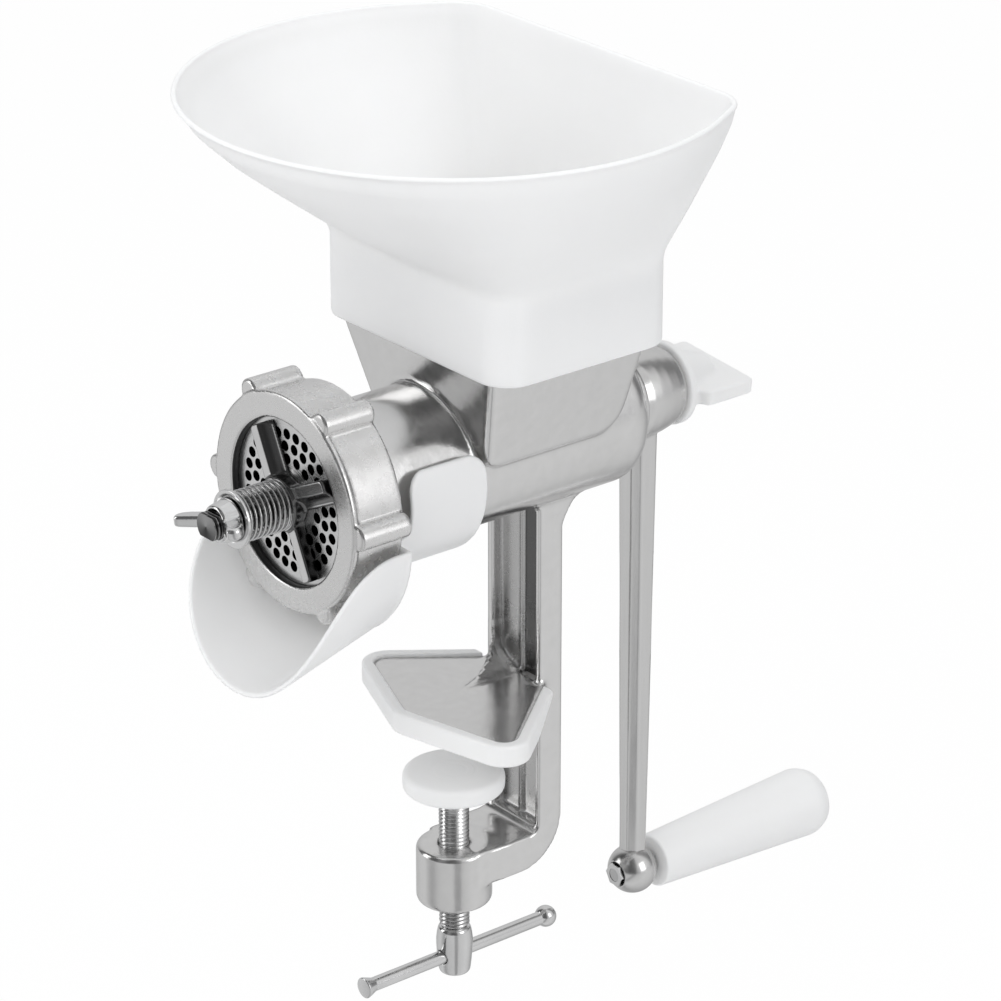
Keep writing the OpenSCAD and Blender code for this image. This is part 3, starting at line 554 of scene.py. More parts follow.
def throat_walls(x, y, z, inset):
    """Leaning walls of the throat. The corners grow rounder inside the hopper's collar."""
    rise = np.minimum(z, 188.5) - COLLAR_Z
    side = (np.abs(x) - (47.5 + 0.31 * rise - inset)) / 1.047
    front = (-y - (18.5 + np.where(rise > 0, 0.03, 0.19) * rise - inset)) / 1.018
    rear = y - (61 + 0.08 * rise - inset)
    low = (AXIS_Z + 3.7 + 2 * inset) - z
    ends = meet(meet(rear, low, 13.0), meet(front, low, 9.0), 1.0)
    return meet(side, ends, 3.5 + 10.0 * np.clip(rise / 26, 0, 1))


def casting(x, y, z):
    h = z - AXIS_Z
    rho = np.hypot(x, h)
    # barrel with a domed rear
    barrel = capped(rho - neck_radius(y), y, MOUTH_Y, REAR_Y, 0.8)
    dome = np.hypot(np.maximum(rho - 21, 0), np.maximum(y - (REAR_Y - 10.5), 0)) - 10.5
    barrel = meet(barrel, dome, 1.0)
    # throat: its sides run down to the barrel's widest place behind the clip
    throat = meet(throat_walls(x, y, z, 0), z - THROAT_TOP, 1.0)
    body = join(barrel, throat, 2.2)
    # post, clamp arm and boss
    half_w = POST_W / 2
    side = np.where(x < -9, polygon_distance(y, z, SIDE_FAR), polygon_distance(y, z, SIDE_NEAR))
    web = meet(side, np.abs(x + 0.4) - 0.4 - np.interp(y, [1, 16], [BOSS_R - 0.4, half_w]), 1.1)
    channel = rounded_box(x, y, z, (-half_w + 3, POST_Y - 18, ARM_TOP + 2.5),
                          (half_w - 3, POST_Y + 4.8, AXIS_Z - 27), 1.0)
    web = take(web, channel, 1.0)
    rib = np.hypot(x, y - (POST_Y + 5.0)) - 1.2
    rib = meet(meet(rib, ARM_TOP - z, 0.5), z - (AXIS_Z - 25), 0.5)
    web = join(web, rib, 0.6)
    boss = capped(np.hypot(x, y) - BOSS_R, z, ARM_TOP - 26, ARM_TOP, 3.0)
    web = join(web, boss, 1.8)
    body = join(body, web, 3.0)
    # jaw plate, with a hollow-faced gusset up to the post's far wall
    plate = capped(polygon_distance(x, y, JAW) + JAW_RIM, z, PLATE_LOW, PLATE_TOP, 0.8)
    plate = meet(plate, y - (POST_Y + 2), 0.5)
    body = join(body, plate, 3.2)
    wide = np.interp(y, [POST_Y - 1, POST_Y + 5], [17, 13.5])
    tall = np.interp(y, [POST_Y - 1, POST_Y + 5], [17, 8.5])
    corner = np.hypot(np.minimum(x + 13.5 - wide, 0) / wide, np.minimum(z - PLATE_TOP - tall, 0) / tall)
    gusset = meet((1 - corner) * tall, polygon_distance(x, y, GUSSET), 0.7)
    gusset = meet(meet(gusset, 6 - z, 0.3), z - 25, 0.3)
    body = join(body, gusset, 0.9)
    # hollow throat, chamber, bores
    hollow = throat_walls(x, y, z, 3.5)
    chamber = capped(rho - CHAMBER_R, y, MOUTH_Y - 9, REAR_Y - 14, 0.6)
    hollow = join(hollow, chamber, 0.8)
    die_seat = capped(rho - DIE_SEAT_R, y, MOUTH_Y - 9, DIE_Y + 5, 0.3)
    bush_bore = capped(rho - BUSH_R, y, REAR_Y - 20, REAR_Y + 9, 0.2)
    key_hole = np.hypot(x, h - 36) - 1.7 + np.where(y < MOUTH_Y + 8.5, 0, 9)
    screw_bore = capped(np.hypot(x, y) - 6.5, z, ARM_TOP - 40, ARM_TOP + 9, 0.2)
    for bore in (die_seat, bush_bore, key_hole, screw_bore):
        hollow = np.minimum(hollow, bore)
    return take(body, hollow, 0.9)


def frame_side(foot):
    """Side outline of the C-shaped frame, with a fillet under the barrel in front."""
    top, back, low = AXIS_Z - BARREL_R + 7, POST_Y + POST_D, ARM_TOP - ARM_H
    return (arc((POST_Y - foot, top - foot), foot, 90, 0, 10)
            + arc((POST_Y - 4.5, ARM_TOP + 4.5), 4.5, 0, -90, 6)
            + [(0, ARM_TOP), (0, low)]
            + arc((back - 22, low + 22), 22, -90, 0, 16)
            + [(back, top - 13), (back + 1.5, top - 9.5), (back + 8, top)])


SIDE_FAR, SIDE_NEAR = frame_side(11), frame_side(3)


def hull_of_rounds(centres, r, n=10):
    """Outline of equal rounds held by a taut string, the centres in order anticlockwise."""
    out = []
    count = len(centres)
    for i, c in enumerate(centres):
        a, b = centres[i - 1], centres[(i + 1) % count]
        start = math.degrees(math.atan2(c[1] - a[1], c[0] - a[0])) - 90
        end = math.degrees(math.atan2(b[1] - c[1], b[0] - c[0])) - 90
        while end < start:
            end += 360
        out += arc(c, r, start, end, max(1, int(n * (end - start) / 90)))
    return out


JAW_CENTRES = [(1.8, -19.7), (44.3, -9.6), (11.6, POST_Y), (-11.6, POST_Y), (-38.5, -3.6)]
JAW = hull_of_rounds(JAW_CENTRES, 10.8)
GUSSET = [(-16.4, 36.8), (-16.4, 31.9), (-13.7, 31.1), (-9.5, 25.2), (-5.3, 17.7), (0.9, 1.6), (1, 36.8)]

cast("casting", casting, (-57, -80, -87), (57, 82, 194), 1.25, CASTING, "frame", ["body_casting"],
     "cast_aluminium")


def jaw_cap(x, y, z):
    """Tray under and round the plate, sloping down toward the post."""
    outline = polygon_distance(x, y, JAW)
    block = capped(outline, z, 0.0, 9.5, 1.5)
    rise = (np.maximum(y - 9, 0) * 0.306 - z) * 0.956
    block = meet(block, rise, 0.8)
    recess = meet(outline + JAW_RIM, PLATE_LOW - z, 0.4)
    slot = rounded_box(x, y, z, (-POST_W / 2 - 0.3, POST_Y - 17, PLATE_LOW),
                       (POST_W / 2 + 0.3, POST_Y + 30, 40), 0.3)
    return meet(take(take(block, recess, 0.5), slot, 0.4), y - (POST_Y - 0.3), 0.5)


cast("jaw_cap_moulded", jaw_cap, (-50, -31, 0), (56, 33, 10), 0.7, CAP_WHITE, "frame", ["jaw_cap"],
     "white_plastic")


# -------- mouth: ring, die, cutter, spring
def ring(x, y, z):
    """Die ring with six round lugs and a front lip."""
    lug_r = 5.0
    h = z - AXIS_Z
    rho = np.hypot(x, h)
    t = y - RING_Y
    lip = capped(rho - RING_R, t, 0, 2.6, 0.8)
    wall = join(capped(rho - (RING_R - 0.9 - 0.01 * t), t, 0.5, RING_LEN, 1.0), lip, 0.5)
    u, v = spokes(x, h, 6)
    lug = capped(np.hypot(u - (RING_R + 0.3), v) - lug_r, t, 0.6, RING_LEN - 0.6, 1.2)
    wall = join(wall, lug, 1.0)
    wall = take(wall, capped(rho - APERTURE_R, t, -9, 60, 0.2), 1.0)
    bore = capped(rho - RING_BORE_R, t, 3.2, 60, 0.5)
    return take(wall, bore, 0.5)


cast("die_ring", ring, (-50, RING_Y, 65), (50, RING_Y + RING_LEN, 165), 0.9, RING_METAL, "ring",
     ["ring_nut"], "cast_aluminium")


def blade_end(x, y, z):
    """Cutter: four blades scooped on one side, and a hub on the shaft's flats."""
    half_w, reach, thick = 5.25, 32.0, 5.0
    h = z - AXIS_Z
    rho = np.hypot(x, h)
    t = DIE_Y - 0.1 - y
    u, v = spokes(x, h, 4, 26)
    blade = meet(np.abs(v) - half_w, u - reach, 2.5)
    blade = capped(blade, t, 0, thick, 0.6)
    blade = take(blade, np.hypot(v + 6.4, t - 7.6) - 7.0, 0.5)
    hub = capped(rho - 10.9, t, 0, 6.0, 1.0)
    solid = join(blade, hub, 1.6)
    hole = meet(rho - SHAFT_HOLE_R, np.abs(h) - 4.65, 0.3)
    return take(solid, hole, 0.3)


cast("cutter_cross", blade_end, (-33, DIE_Y - 7, 82), (33, DIE_Y, 148), 0.6, CUTTER_STEEL, "drive",
     ["cutter"], "steel")


class Growth:
    """A geometry tree with named sizes. Nodes are added by type, settings and socket values."""

    def __init__(self, name, sizes):
        self.tree = bpy.data.node_groups.new(name, "GeometryNodeTree")
        for way in ("INPUT", "OUTPUT"):
            self.tree.interface.new_socket("Geometry", in_out=way, socket_type="NodeSocketGeometry")
        self.ids = {}
        for key, value in sizes.items():
            kind = "NodeSocketInt" if isinstance(value, int) else "NodeSocketFloat"
            socket = self.tree.interface.new_socket(key, in_out="INPUT", socket_type=kind)
            socket.default_value = value
            self.ids[key] = socket.identifier
        self.start = self.tree.nodes.new("NodeGroupInput")
        self.sizes = sizes

    def size(self, key):
        return self.start.outputs[key]

    def add(self, kind, settings=None, **values):
        made = self.tree.nodes.new(kind)
        for key, value in (settings or {}).items():
            setattr(made, key, value)
        for key, value in values.items():
            self.put(made.inputs[key.replace("_", " ")], value)
        return made

    def put(self, socket, value):
        if isinstance(value, bpy.types.NodeSocket):
            self.tree.links.new(value, socket)
        else:
            socket.default_value = value

    def math(self, operation, a, b):
        made = self.add("ShaderNodeMath", {"operation": operation})
        self.put(made.inputs[0], a)
        self.put(made.inputs[1], b)
        return made.outputs[0]

    def grow(self, name, last, material):
        """Ends the tree, runs it on an object and returns a plain mesh object."""
        real = self.add("GeometryNodeRealizeInstances", Geometry=last)
        painted = self.add("GeometryNodeSetMaterial", Geometry=real.outputs[0], Material=material)
        end = self.tree.nodes.new("NodeGroupOutput")
        self.tree.links.new(painted.outputs[0], end.inputs[0])
        holder = add_object(name + "_maker", bpy.data.meshes.new(name + "_base"))
        step = holder.modifiers.new("grow", "NODES")
        step.node_group = self.tree
        for key, value in self.sizes.items():
            step[self.ids[key]] = value
        graph = bpy.context.evaluated_depsgraph_get()
        mesh = bpy.data.meshes.new_from_object(holder.evaluated_get(graph))
        piece = add_object(name, mesh)
        bpy.data.objects.remove(holder)
        return piece


def wound_wire(name, radius, wire, coils, length, material):
    """A helical spring along +Z from the origin, with its end coils closed up."""
    g = Growth(name + "_tree", {"Coil radius": radius * MM, "Wire radius": wire * MM, "Coils": float(coils),
                                "Length": length * MM, "Steps": 48})
    coils, length, wire = g.size("Coils"), g.size("Length"), g.size("Wire radius")
    line = g.add("GeometryNodeCurveSpiral", Resolution=g.size("Steps"), Rotations=coils,
                 Start_Radius=g.size("Coil radius"), End_Radius=g.size("Coil radius"), Height=length)
    section = g.add("GeometryNodeCurvePrimitiveCircle", Resolution=12, Radius=wire)
    # the height rises only between the end coils, so that they lie flat
    flat = 0.7
    turns = g.math("MULTIPLY", g.add("GeometryNodeSplineParameter").outputs["Factor"], coils)
    height = g.add("ShaderNodeMapRange", {"interpolation_type": "LINEAR", "clamp": True}, Value=turns,
                   From_Min=flat, From_Max=g.math("SUBTRACT", coils, flat), To_Min=wire,
                   To_Max=g.math("SUBTRACT", length, wire))
    split = g.add("ShaderNodeSeparateXYZ", Vector=g.add("GeometryNodeInputPosition").outputs[0])
    place = g.add("ShaderNodeCombineXYZ", X=split.outputs[0], Y=split.outputs[1], Z=height.outputs[0])
    moved = g.add("GeometryNodeSetPosition", Geometry=line.outputs[0], Position=place.outputs[0])
    tube = g.add("GeometryNodeCurveToMesh", Curve=moved.outputs[0], Profile_Curve=section.outputs[0],
                 Fill_Caps=True)
    return g.grow(name, tube.outputs[0], material)


def lay_along_y(piece, y, z):
    """Turns a mesh built along +Z to lie along +Y, and puts it in its place."""
    co = np.zeros(len(piece.data.vertices) * 3)
    piece.data.vertices.foreach_get("co", co)
    co = co.reshape(-1, 3)
    out = np.stack([co[:, 0], co[:, 2] + y * MM, -co[:, 1] + z * MM], 1)
    piece.data.vertices.foreach_set("co", out.ravel())
    piece.data.update()


SPRING_Y, SPRING_LEN, COIL_R, WIRE_R, COILS = -105.9, 20.5, 9.7, 0.6, 10
spring = wound_wire("cutter_spring_wire", COIL_R, WIRE_R, COILS, SPRING_LEN, WIRE_STEEL)
lay_along_y(spring, SPRING_Y, AXIS_Z)
# it is given the drive and the washer, but is only fixed in place and rides on neither
dress(spring, WIRE_STEEL, ("drive", "washer", SPRING_Y + SPRING_LEN, SPRING_Y), ["cutter_spring"])

WASHER_T, HOLE_R, WASHER_R = 1.6, 6.1, 11.7
WASHER_Y = SPRING_Y - WASHER_T
section = [(WASHER_Y, HOLE_R), (WASHER_Y, WASHER_R), (SPRING_Y, WASHER_R), (SPRING_Y, HOLE_R)]
turned("spring_washer_pressed", softened(section + section[:1], 0.35)[:-1], PLATED_NUT, "washer",
       ["spring_washer"], "steel", centre=(0, AXIS_Z))


def wing_nut(x, y, z):
    """Round hub with two raised, rounded wings."""
    h = z - AXIS_Z
    turn = math.radians(10)
    u = x * math.cos(turn) + h * math.sin(turn)
    v = -x * math.sin(turn) + h * math.cos(turn)
    t = WASHER_Y - y
    rho = np.hypot(x, h)
    hub = capped(rho - (8.8 - 0.2 * t), t, 0, 7.5, 1.2)
    lift = np.clip((np.abs(u) - 5.0) / 13.0, 0, 1)
    spine_t = 3.2 + 7.2 * lift
    wing = np.hypot(np.maximum(np.abs(np.abs(u) - 11.0) - 5.0, 0), t - spine_t) - 4.1
    wing = meet(wing, np.abs(v) - (2.5 - 0.2 * lift), 1.6)
    solid = join(hub, wing, 2.2)
    solid = meet(solid, -t, 0.4)
    return take(solid, rho - SHAFT_HOLE_R, 0.4)


cast("wing_nut_forged", wing_nut, (-21, WASHER_Y - 16, AXIS_Z - 12), (21, WASHER_Y, AXIS_Z + 12), 0.5,
     PLATED_NUT, "wing", ["wing_nut"], "plated_steel")


# -------- crank
BALL_R = 10.6
DIAGONAL = 0.7071                   # cosine of 45 degrees


def from_ball(x, y, z):
    """Distance from the middle of the crank's ball."""
    return np.sqrt(x * x + (y - ARM_Y) ** 2 + (z - GRIP_Z) ** 2)


def crank(x, y, z):
    """Eye and tapered arm, hollow where the ball sits."""
    h = z - AXIS_Z
    rho = np.hypot(x, h)
    t = y - EYE_Y
    collar = capped(rho - 20.6, t, 0, 4.6, 0.9)
    bulb_r = np.interp(t, [0, 5, 9, 14, 19, 24, EYE_LEN], [16.5, 17.6, 18.7, 18.9, 18.4, 17.4, 15.8])
    bulb = capped(rho - bulb_r, t, 0, EYE_LEN, 2.0)
    eye = join(collar, bulb, 1.5)
    # tapered arm: crisp edges, but one wide bevel on the outer front edge
    s = np.clip((AXIS_Z - z) / (AXIS_Z - GRIP_Z), 0, 1)
    half_w, half_d = 5.75 - 1.75 * s, 5.8 - 1.7 * s
    v = y - ARM_Y
    bevel = (x - v - half_w - half_d + 3.2) * DIAGONAL
    arm = meet(meet(np.abs(x) - half_w, np.abs(v) - half_d, 0.7), bevel, 0.5)
    arm = meet(meet(arm, z - AXIS_Z, 0.5), GRIP_Z - z, 0.5)
    body = join(eye, arm, 2.0)
    square = np.maximum(np.maximum(np.abs(x), np.abs(h)) - 5.25, np.maximum(-3 - t, t - 27.8))
    holes = np.minimum(square, capped(rho - 4.3, t, 24, 40, 0.2))
    holes = np.minimum(holes, from_ball(x, y, z) - (BALL_R - 2.5))
    return take(body, holes, 0.4)


def ball_end(x, y, z):
    """Ball at the arm's end: bored for the grip's bolt, with a round seat for its nut."""
    g = np.hypot(x, z - GRIP_Z)
    ball = from_ball(x, y, z) - BALL_R
    ball = meet(ball, y - (ARM_Y + BALL_R - 0.9), 0.4)
    holes = capped(g - 3.0, y, ARM_Y - 20, ARM_Y + 20, 0.1)
    holes = np.minimum(holes, capped(g - 5.4, y, ARM_Y - 20, ARM_Y - 6.4, 0.2))
    return take(ball, holes, 0.5)


cast("crank_casting", crank, (-22, EYE_Y, GRIP_Z - 1), (22, EYE_Y + 30, AXIS_Z + 21.5), 0.8, CRANK_METAL,
     "drive", ["crank_arm"], "cast_aluminium")
cast("crank_ball", ball_end, (-11, ARM_Y - 11, GRIP_Z - 11), (11, ARM_Y + 11, GRIP_Z + 11), 0.42, CRANK_METAL,
     "drive", (), "cast_aluminium")

KNOB_Y, KNOB_LEN = EYE_Y + EYE_LEN, 30.0
FLANGE_R, FLANGE_T = 17.5, 3.5
WING_HALF_W, WING_HALF_T = 21.5, 3.25


def thumb_knob(x, y, z):
    """Flat wing on a cone and a flange."""
    h = z - AXIS_Z
    rho = np.hypot(x, h)
    t = y - KNOB_Y
    lean = math.radians(5)
    u, v = x * math.cos(lean) - h * math.sin(lean), x * math.sin(lean) + h * math.cos(lean)
    flange = capped(rho - FLANGE_R, t, 0, FLANGE_T, 1.0)
    wing = meet(np.abs(u) - WING_HALF_W, t - KNOB_LEN, 2.0)
    wing = meet(meet(wing, np.abs(v) - WING_HALF_T, 1.0), (np.abs(u) - 17.0) * 0.7 + 3.0 - t, 1.5)
    cone = capped((rho - (15.5 - 0.341 * t)) * 0.95, t, 0, 22, 2.0)
    solid = join(join(flange, wing, 1.4), cone, 2.5)
    return take(solid, capped(rho - 4.05, t, -2, 16, 0.2), 0.2)


cast("thumb_knob_moulded", thumb_knob, (-23, KNOB_Y, AXIS_Z - 18), (23, KNOB_Y + KNOB_LEN, AXIS_Z + 18),
     0.6, GRIP_WHITE, "thumb_screw", ["thumb_knob"], "white_plastic")

GRIP_Y, GRIP_LEN = 107.6, 95.0
GRIP_END = GRIP_Y + GRIP_LEN
BOLT_HOLE_R, PLUG_HOLE_R = 2.95, 5.35
bored = [(GRIP_END - 9, PLUG_HOLE_R), (GRIP_END - 9, BOLT_HOLE_R), (GRIP_Y, BOLT_HOLE_R), (GRIP_Y, 10.0)]
swell = [(GRIP_Y, 9.0), (GRIP_Y, 11.5, 1.2), (GRIP_END - 8, 15.25, 10.0), (GRIP_END - 1.4, 12.4, 6.0),
         (GRIP_END, 6.5, 3.0), (GRIP_END + 0.1, PLUG_HOLE_R)]
turned("grip_moulded", softened(bored, 0.3) + softened(swell, 4.5, 10)[2:], GRIP_WHITE, "grip", ["grip"],
       "white_plastic", centre=(0, GRIP_Z))


# -------- hopper
def rounded_rectangle(x0, y0, x1, y1, r):
    return (arc((x1 - r, y0 + r), r, -90, 0, 12) + arc((x1 - r, y1 - r), r, 0, 90, 12)
            + arc((x0 + r, y1 - r), r, 90, 180, 12) + arc((x0 + r, y0 + r), r, 180, 270, 12))


def seen_from(centre, outline, sides):
    """Distance from a centre to a closed outline at even angles."""
    pts = np.array(outline) - centre
    want = np.linspace(-math.pi, math.pi, sides, endpoint=False)
    out = np.zeros(sides)
    a, e = pts, np.roll(pts, -1, 0) - pts
    for i, w in enumerate(want):
        d = np.array([math.cos(w), math.sin(w)])
        det = d[0] * -e[:, 1] + d[1] * e[:, 0]
        det = np.where(np.abs(det) < 1e-12, 1e-12, det)
        t = (a[:, 0] * -e[:, 1] + a[:, 1] * e[:, 0]) / det
        s = (d[0] * a[:, 1] - d[1] * a[:, 0]) / det
        ok = (t > 0) & (s >= -1e-6) & (s <= 1 + 1e-6)
        out[i] = t[ok].max() if ok.any() else 0
    return want, out


HOPPER_MID = np.array([0.0, 18.0])
COLLAR = rounded_rectangle(-58.26, -21.98, 58.26, 65.78, 14)
RIM = (arc((0, 2), 108, -209.6, 29.6, 120) + arc((70, 57), 20, 29.6, 90, 14)
       + arc((-70, 57), 20, 90, 150.4, 14))


def hopper():
    """Points and quads in rows that go up the outside, over the rim and down the inside."""
    sides, wall, lip = 288, 2.4, 1.2
    turn, low_r = seen_from(HOPPER_MID, COLLAR, sides)
    _, high_r = seen_from(HOPPER_MID, RIM, sides)
    flare_z, flare_h = COLLAR_Z + 36, 67
    # how far out the flare has come at each share of its height
    heights = [0, 0.06, 0.17, 0.33, 0.54, 0.7, 0.87, 1]
    shares = [0, 0.04, 0.18, 0.38, 0.61, 0.78, 0.93, 1]

    def flare(start, end, count, inset):
        ks = np.linspace(start, end, count)
        return [(flare_z + flare_h * k - lip * (1 - k), np.interp(k, heights, shares), inset(k)) for k in ks]

    # each row is a height, a share of the way from collar to rim, and an inset
    out = [(COLLAR_Z, 0.0, wall), (COLLAR_Z, 0.0, 1.0), (COLLAR_Z + 0.4, 0.0, 0.3)]
    out += [(COLLAR_Z + h, 0.0, 0.0) for h in (1.4, 8, 16, 24, 30, 34)]
    out += flare(0.02, 0.975, 30, lambda k: 0.0)
    over = np.radians(np.linspace(0, 180, 13))
    out += [(RIM_Z - lip + lip * math.sin(a), 1.0, lip - lip * math.cos(a)) for a in over]
    out += flare(0.96, 0.03, 26, lambda k: wall * 1.05 + 3.3 * (1 - k) ** 3)
    out += [(flare_z - 3, 0.0, 5.7), (THROAT_TOP + 0.8, 0.0, 5.7), (THROAT_TOP + 0.35, 0.0, 5.3),
            (THROAT_TOP + 0.3, 0.0, wall + 0.2), (THROAT_TOP - 0.3, 0.0, wall), (COLLAR_Z + 10, 0.0, wall)]
    points = []
    for z, v, inset in out:
        r = low_r + (high_r - low_r) * v
        x, y = r * np.cos(turn), r * np.sin(turn)
        # inset square to the outline rather than toward the centre
        dx, dy = np.roll(x, -1) - np.roll(x, 1), np.roll(y, -1) - np.roll(y, 1)
        n = np.hypot(dx, dy)
        points.append(np.stack([HOPPER_MID[0] + x - inset * dy / n, HOPPER_MID[1] + y + inset * dx / n,
                                np.full(sides, z)], 1))
    row = np.arange(len(out) * sides).reshape(len(out), sides)
    above = np.roll(row, -1, 0)
    faces = np.stack([row, np.roll(row, -1, 1), np.roll(above, -1, 1), above], 2)
    return np.concatenate(points), faces.reshape(-1, 4)


outward(mesh_object("hopper_moulded", *hopper(), HOPPER_MILK, "hopper", ["hopper"], "hopper_plastic"))


# -------- chute
TILT = math.radians(16.5)
SCOOP_IN = 44.64                    # radius inside the scoop
SCOOP_TOP = 103.0
WALL = 1.8
CLIP_IN = NECK_R + 0.3              # radius inside the clip
CLIP_TOP, CLIP_CORNER = AXIS_Z + 13.7, 8
CLIP_END = SCOOP_Y + 46


def scoop_edge():
    """Side outline of the scoop, cut off along a curve in front."""
    a, b = 30 + SCOOP_Y - RING_Y - 5, 110.0
    t = np.radians(np.linspace(0, 90, 25))
    return ([(SCOOP_Y, SCOOP_TOP - b), (SCOOP_Y, SCOOP_TOP)]
            + list(zip(SCOOP_Y - 5 - a * np.sin(t), SCOOP_TOP - b * (1 - np.cos(t) ** 0.87))))


SCOOP_SIDE = scoop_edge()[::-1]
CLIP_SIDE = ([(SCOOP_Y, 55), (CLIP_END, 55)]
             + arc((CLIP_END - CLIP_CORNER, CLIP_TOP - CLIP_CORNER), CLIP_CORNER, 0, 90, 8)
             + arc((SCOOP_Y + 9 + CLIP_CORNER, CLIP_TOP - CLIP_CORNER), CLIP_CORNER, 90, 180, 8)
             + [(SCOOP_Y + 9, 107), (SCOOP_Y + 8, 104.6), (SCOOP_Y + 5.5, 103.2), (SCOOP_Y, SCOOP_TOP)])


def chute(x, y, z):
    """Tilted scoop, the back that closes it under the neck, and the clip round the neck."""
    h = z - AXIS_Z
    rho = np.hypot(x, h)
    clip = np.abs(rho - (CLIP_IN + WALL / 2)) - WALL / 2
    clip = meet(clip, polygon_distance(y, z, CLIP_SIDE), 0.5)
    across = -math.sin(TILT) * (y - SCOOP_Y) + math.cos(TILT) * (z - (AXIS_Z - 9.5))
    tube = np.hypot(x, across)
    shell = np.abs(tube - (SCOOP_IN + WALL / 2)) - WALL / 2
    shell = meet(shell, polygon_distance(y, z, SCOOP_SIDE), 0.7)
    back = meet(tube - (SCOOP_IN + WALL), z - SCOOP_TOP, 0.3)
    back = capped(back, y, SCOOP_Y, SCOOP_Y + WALL, 0.3)
    back = take(back, rho - CLIP_IN, 0.3)
    return join(join(shell, back, 1.6), clip, 1.4)


cast("chute_moulded", chute, (-48, -120, 25), (48, -8, 131), 0.75, CHUTE_MILK, "frame", ["chute"],
     "hopper_plastic")


# -------- clamp
PAD_TOP, PAD_T, PAD_R = -26.5, 8.0, 21.0
PAD_LOW = PAD_TOP - PAD_T
PIN_R, PIN_TOP = 4.0, PAD_TOP - 3   # the screw's plain tip, which turns in the pad
pad_profile = [(PAD_LOW + 5.9, 0), (PAD_LOW + 5.9, 4.05), (PAD_LOW, 4.05, 0.0), (PAD_LOW, PAD_R, 2.6),
               (PAD_TOP, PAD_R, 3.0)]
# two faint rings in its top
for r in (9.2, 5.2):
    pad_profile += [(PAD_TOP, r + 0.9, 0.15), (PAD_TOP - 0.06, r + 0.4, 0.15),
                    (PAD_TOP - 0.06, r - 0.4, 0.15), (PAD_TOP, r - 0.9, 0.15)]
pad_profile += [(PAD_TOP, 0)]
turned("pressure_pad_moulded", softened(pad_profile, 0.2, 5), PAD_WHITE, "pad", ["pressure_pad"],
       "white_plastic", along="z", sides=128)


def screw_thread(r, pitch, low, high, depth, per_turn=64):
    """Points and faces of a helical thread along +Z that fades out at its ends."""
    rows = [(0.0, -depth), (0.1, -depth), (0.42, 0.0), (0.58, 0.0), (0.9, -depth)]
    steps = int((high - low) / pitch * per_turn)
    points, faces = [], []
    m = len(rows)
    for i in range(steps + 1):
        a = 2 * math.pi * i / per_turn
        base = low + pitch * (i / per_turn)
        for place, rise in rows:
            z = min(max(base + (place - 0.5) * pitch, low), high)
            fade = min(1.0, (z - low) / pitch, (high - z) / pitch)
            rr = r - depth + (rise + depth) * max(fade, 0)
            points.append((rr * math.cos(a), rr * math.sin(a), z))
    for i in range(steps):
        for k in range(m - 1):
            p = i * m + k
            faces.append((p, p + m, p + m + 1, p + 1))
    # each turn's last row meets the next turn's first
    for i in range(steps - per_turn):
        p, q = i * m + m - 1, (i + per_turn) * m
        faces.append((p, p + m, q + m, q))
    return points, faces


HEAD_TOP, HEAD_BOTTOM, HEAD_H = -98.0, -119.7, 21.7
BAR_Z = HEAD_TOP - 0.62 * HEAD_H
BAR_R, BAR_END_R, BAR_SHIFT, BAR_LEN = 2.95, 4.65, 2.5, 92.0
mesh_object("clamp_thread", *screw_thread(6.28, THREAD_PITCH, HEAD_TOP - 0.5, PAD_LOW - 0.3, 0.95), ROLLED,
            "screw", (), "plated_steel")
core = [(HEAD_TOP - 3, 0), (HEAD_TOP - 3, 5.5), (PAD_LOW - 0.35, 5.5), (PAD_LOW - 0.1, PIN_R),
        (PIN_TOP, PIN_R), (PIN_TOP, 0)]
turned("clamp_core", core, PLATED, "screw", (), "plated_steel", along="z", sides=48)


def screw_head(x, y, z):
    """Barrel-shaped head, bored across for the bar."""
    r = np.hypot(x, y)
    side = np.interp(z, HEAD_BOTTOM + np.array([0, 2, 5, 9, 13, 15.5, 18, 20, HEAD_H]),
                     [6.3, 6.7, 7.05, 7.4, 7.62, 7.6, 7.35, 6.95, 6.4])
    body = capped(r - side, z, HEAD_BOTTOM, HEAD_TOP, 1.4)
    bore = np.hypot(x, z - BAR_Z) - (BAR_R + 0.2)
    return take(body, bore, 0.5)


cast("clamp_head", screw_head, (-8, -8, HEAD_BOTTOM), (8, 8, HEAD_TOP), 0.42, PLATED, "screw",
     ["clamp_screw"], "plated_steel")

y0, y1 = BAR_SHIFT - BAR_LEN / 2, BAR_SHIFT + BAR_LEN / 2
rod = [(y0 - 4, 0), (y0 - 4, BAR_END_R, 0.6), (y0 - 2.2, 4.1, 2), (y0 + 1, BAR_R, 2), (y1 - 0.5, BAR_R),
       (y1 - 0.1, 2.0), (y1 - 0.1, 0)]
turned("tommy_bar_turned", softened(rod, 0.4, 5), PLATED, "bar", ["tommy_bar"], "plated_steel",
       centre=(0, BAR_Z), sides=48)
ball_y = y1 + 0.4
ball = [(ball_y - 3.9, 0.0), (ball_y - 3.9, 2.55)] + arc((ball_y, 0), BAR_END_R, 144, 0, 24)
turned("tommy_bar_ball", ball, PLATED, "bar", ["tommy_bar_cap"], "plated_steel", centre=(0, BAR_Z), sides=48)

# -------- carried-over nodes
plain_nodes = {"rear_bush": BRONZE, "thrust_washer": NYLON, "die_plate": DIE_STEEL, "feed_screw": TINNED,
               "grip_nut": PLATED_NUT, "grip_plug": GRIP_WHITE}
for node in ("die_key_pin", "drive_shaft", "cross_pin", "thumb_stud", "grip_bolt"):
    plain_nodes[node] = SHAFT_STEEL
for node, material in plain_nodes.items():
    held = frame["nodes"][node]
    if not held.material_slots:
        held.data.materials.append(material)
    for place in held.material_slots:
        place.material = material

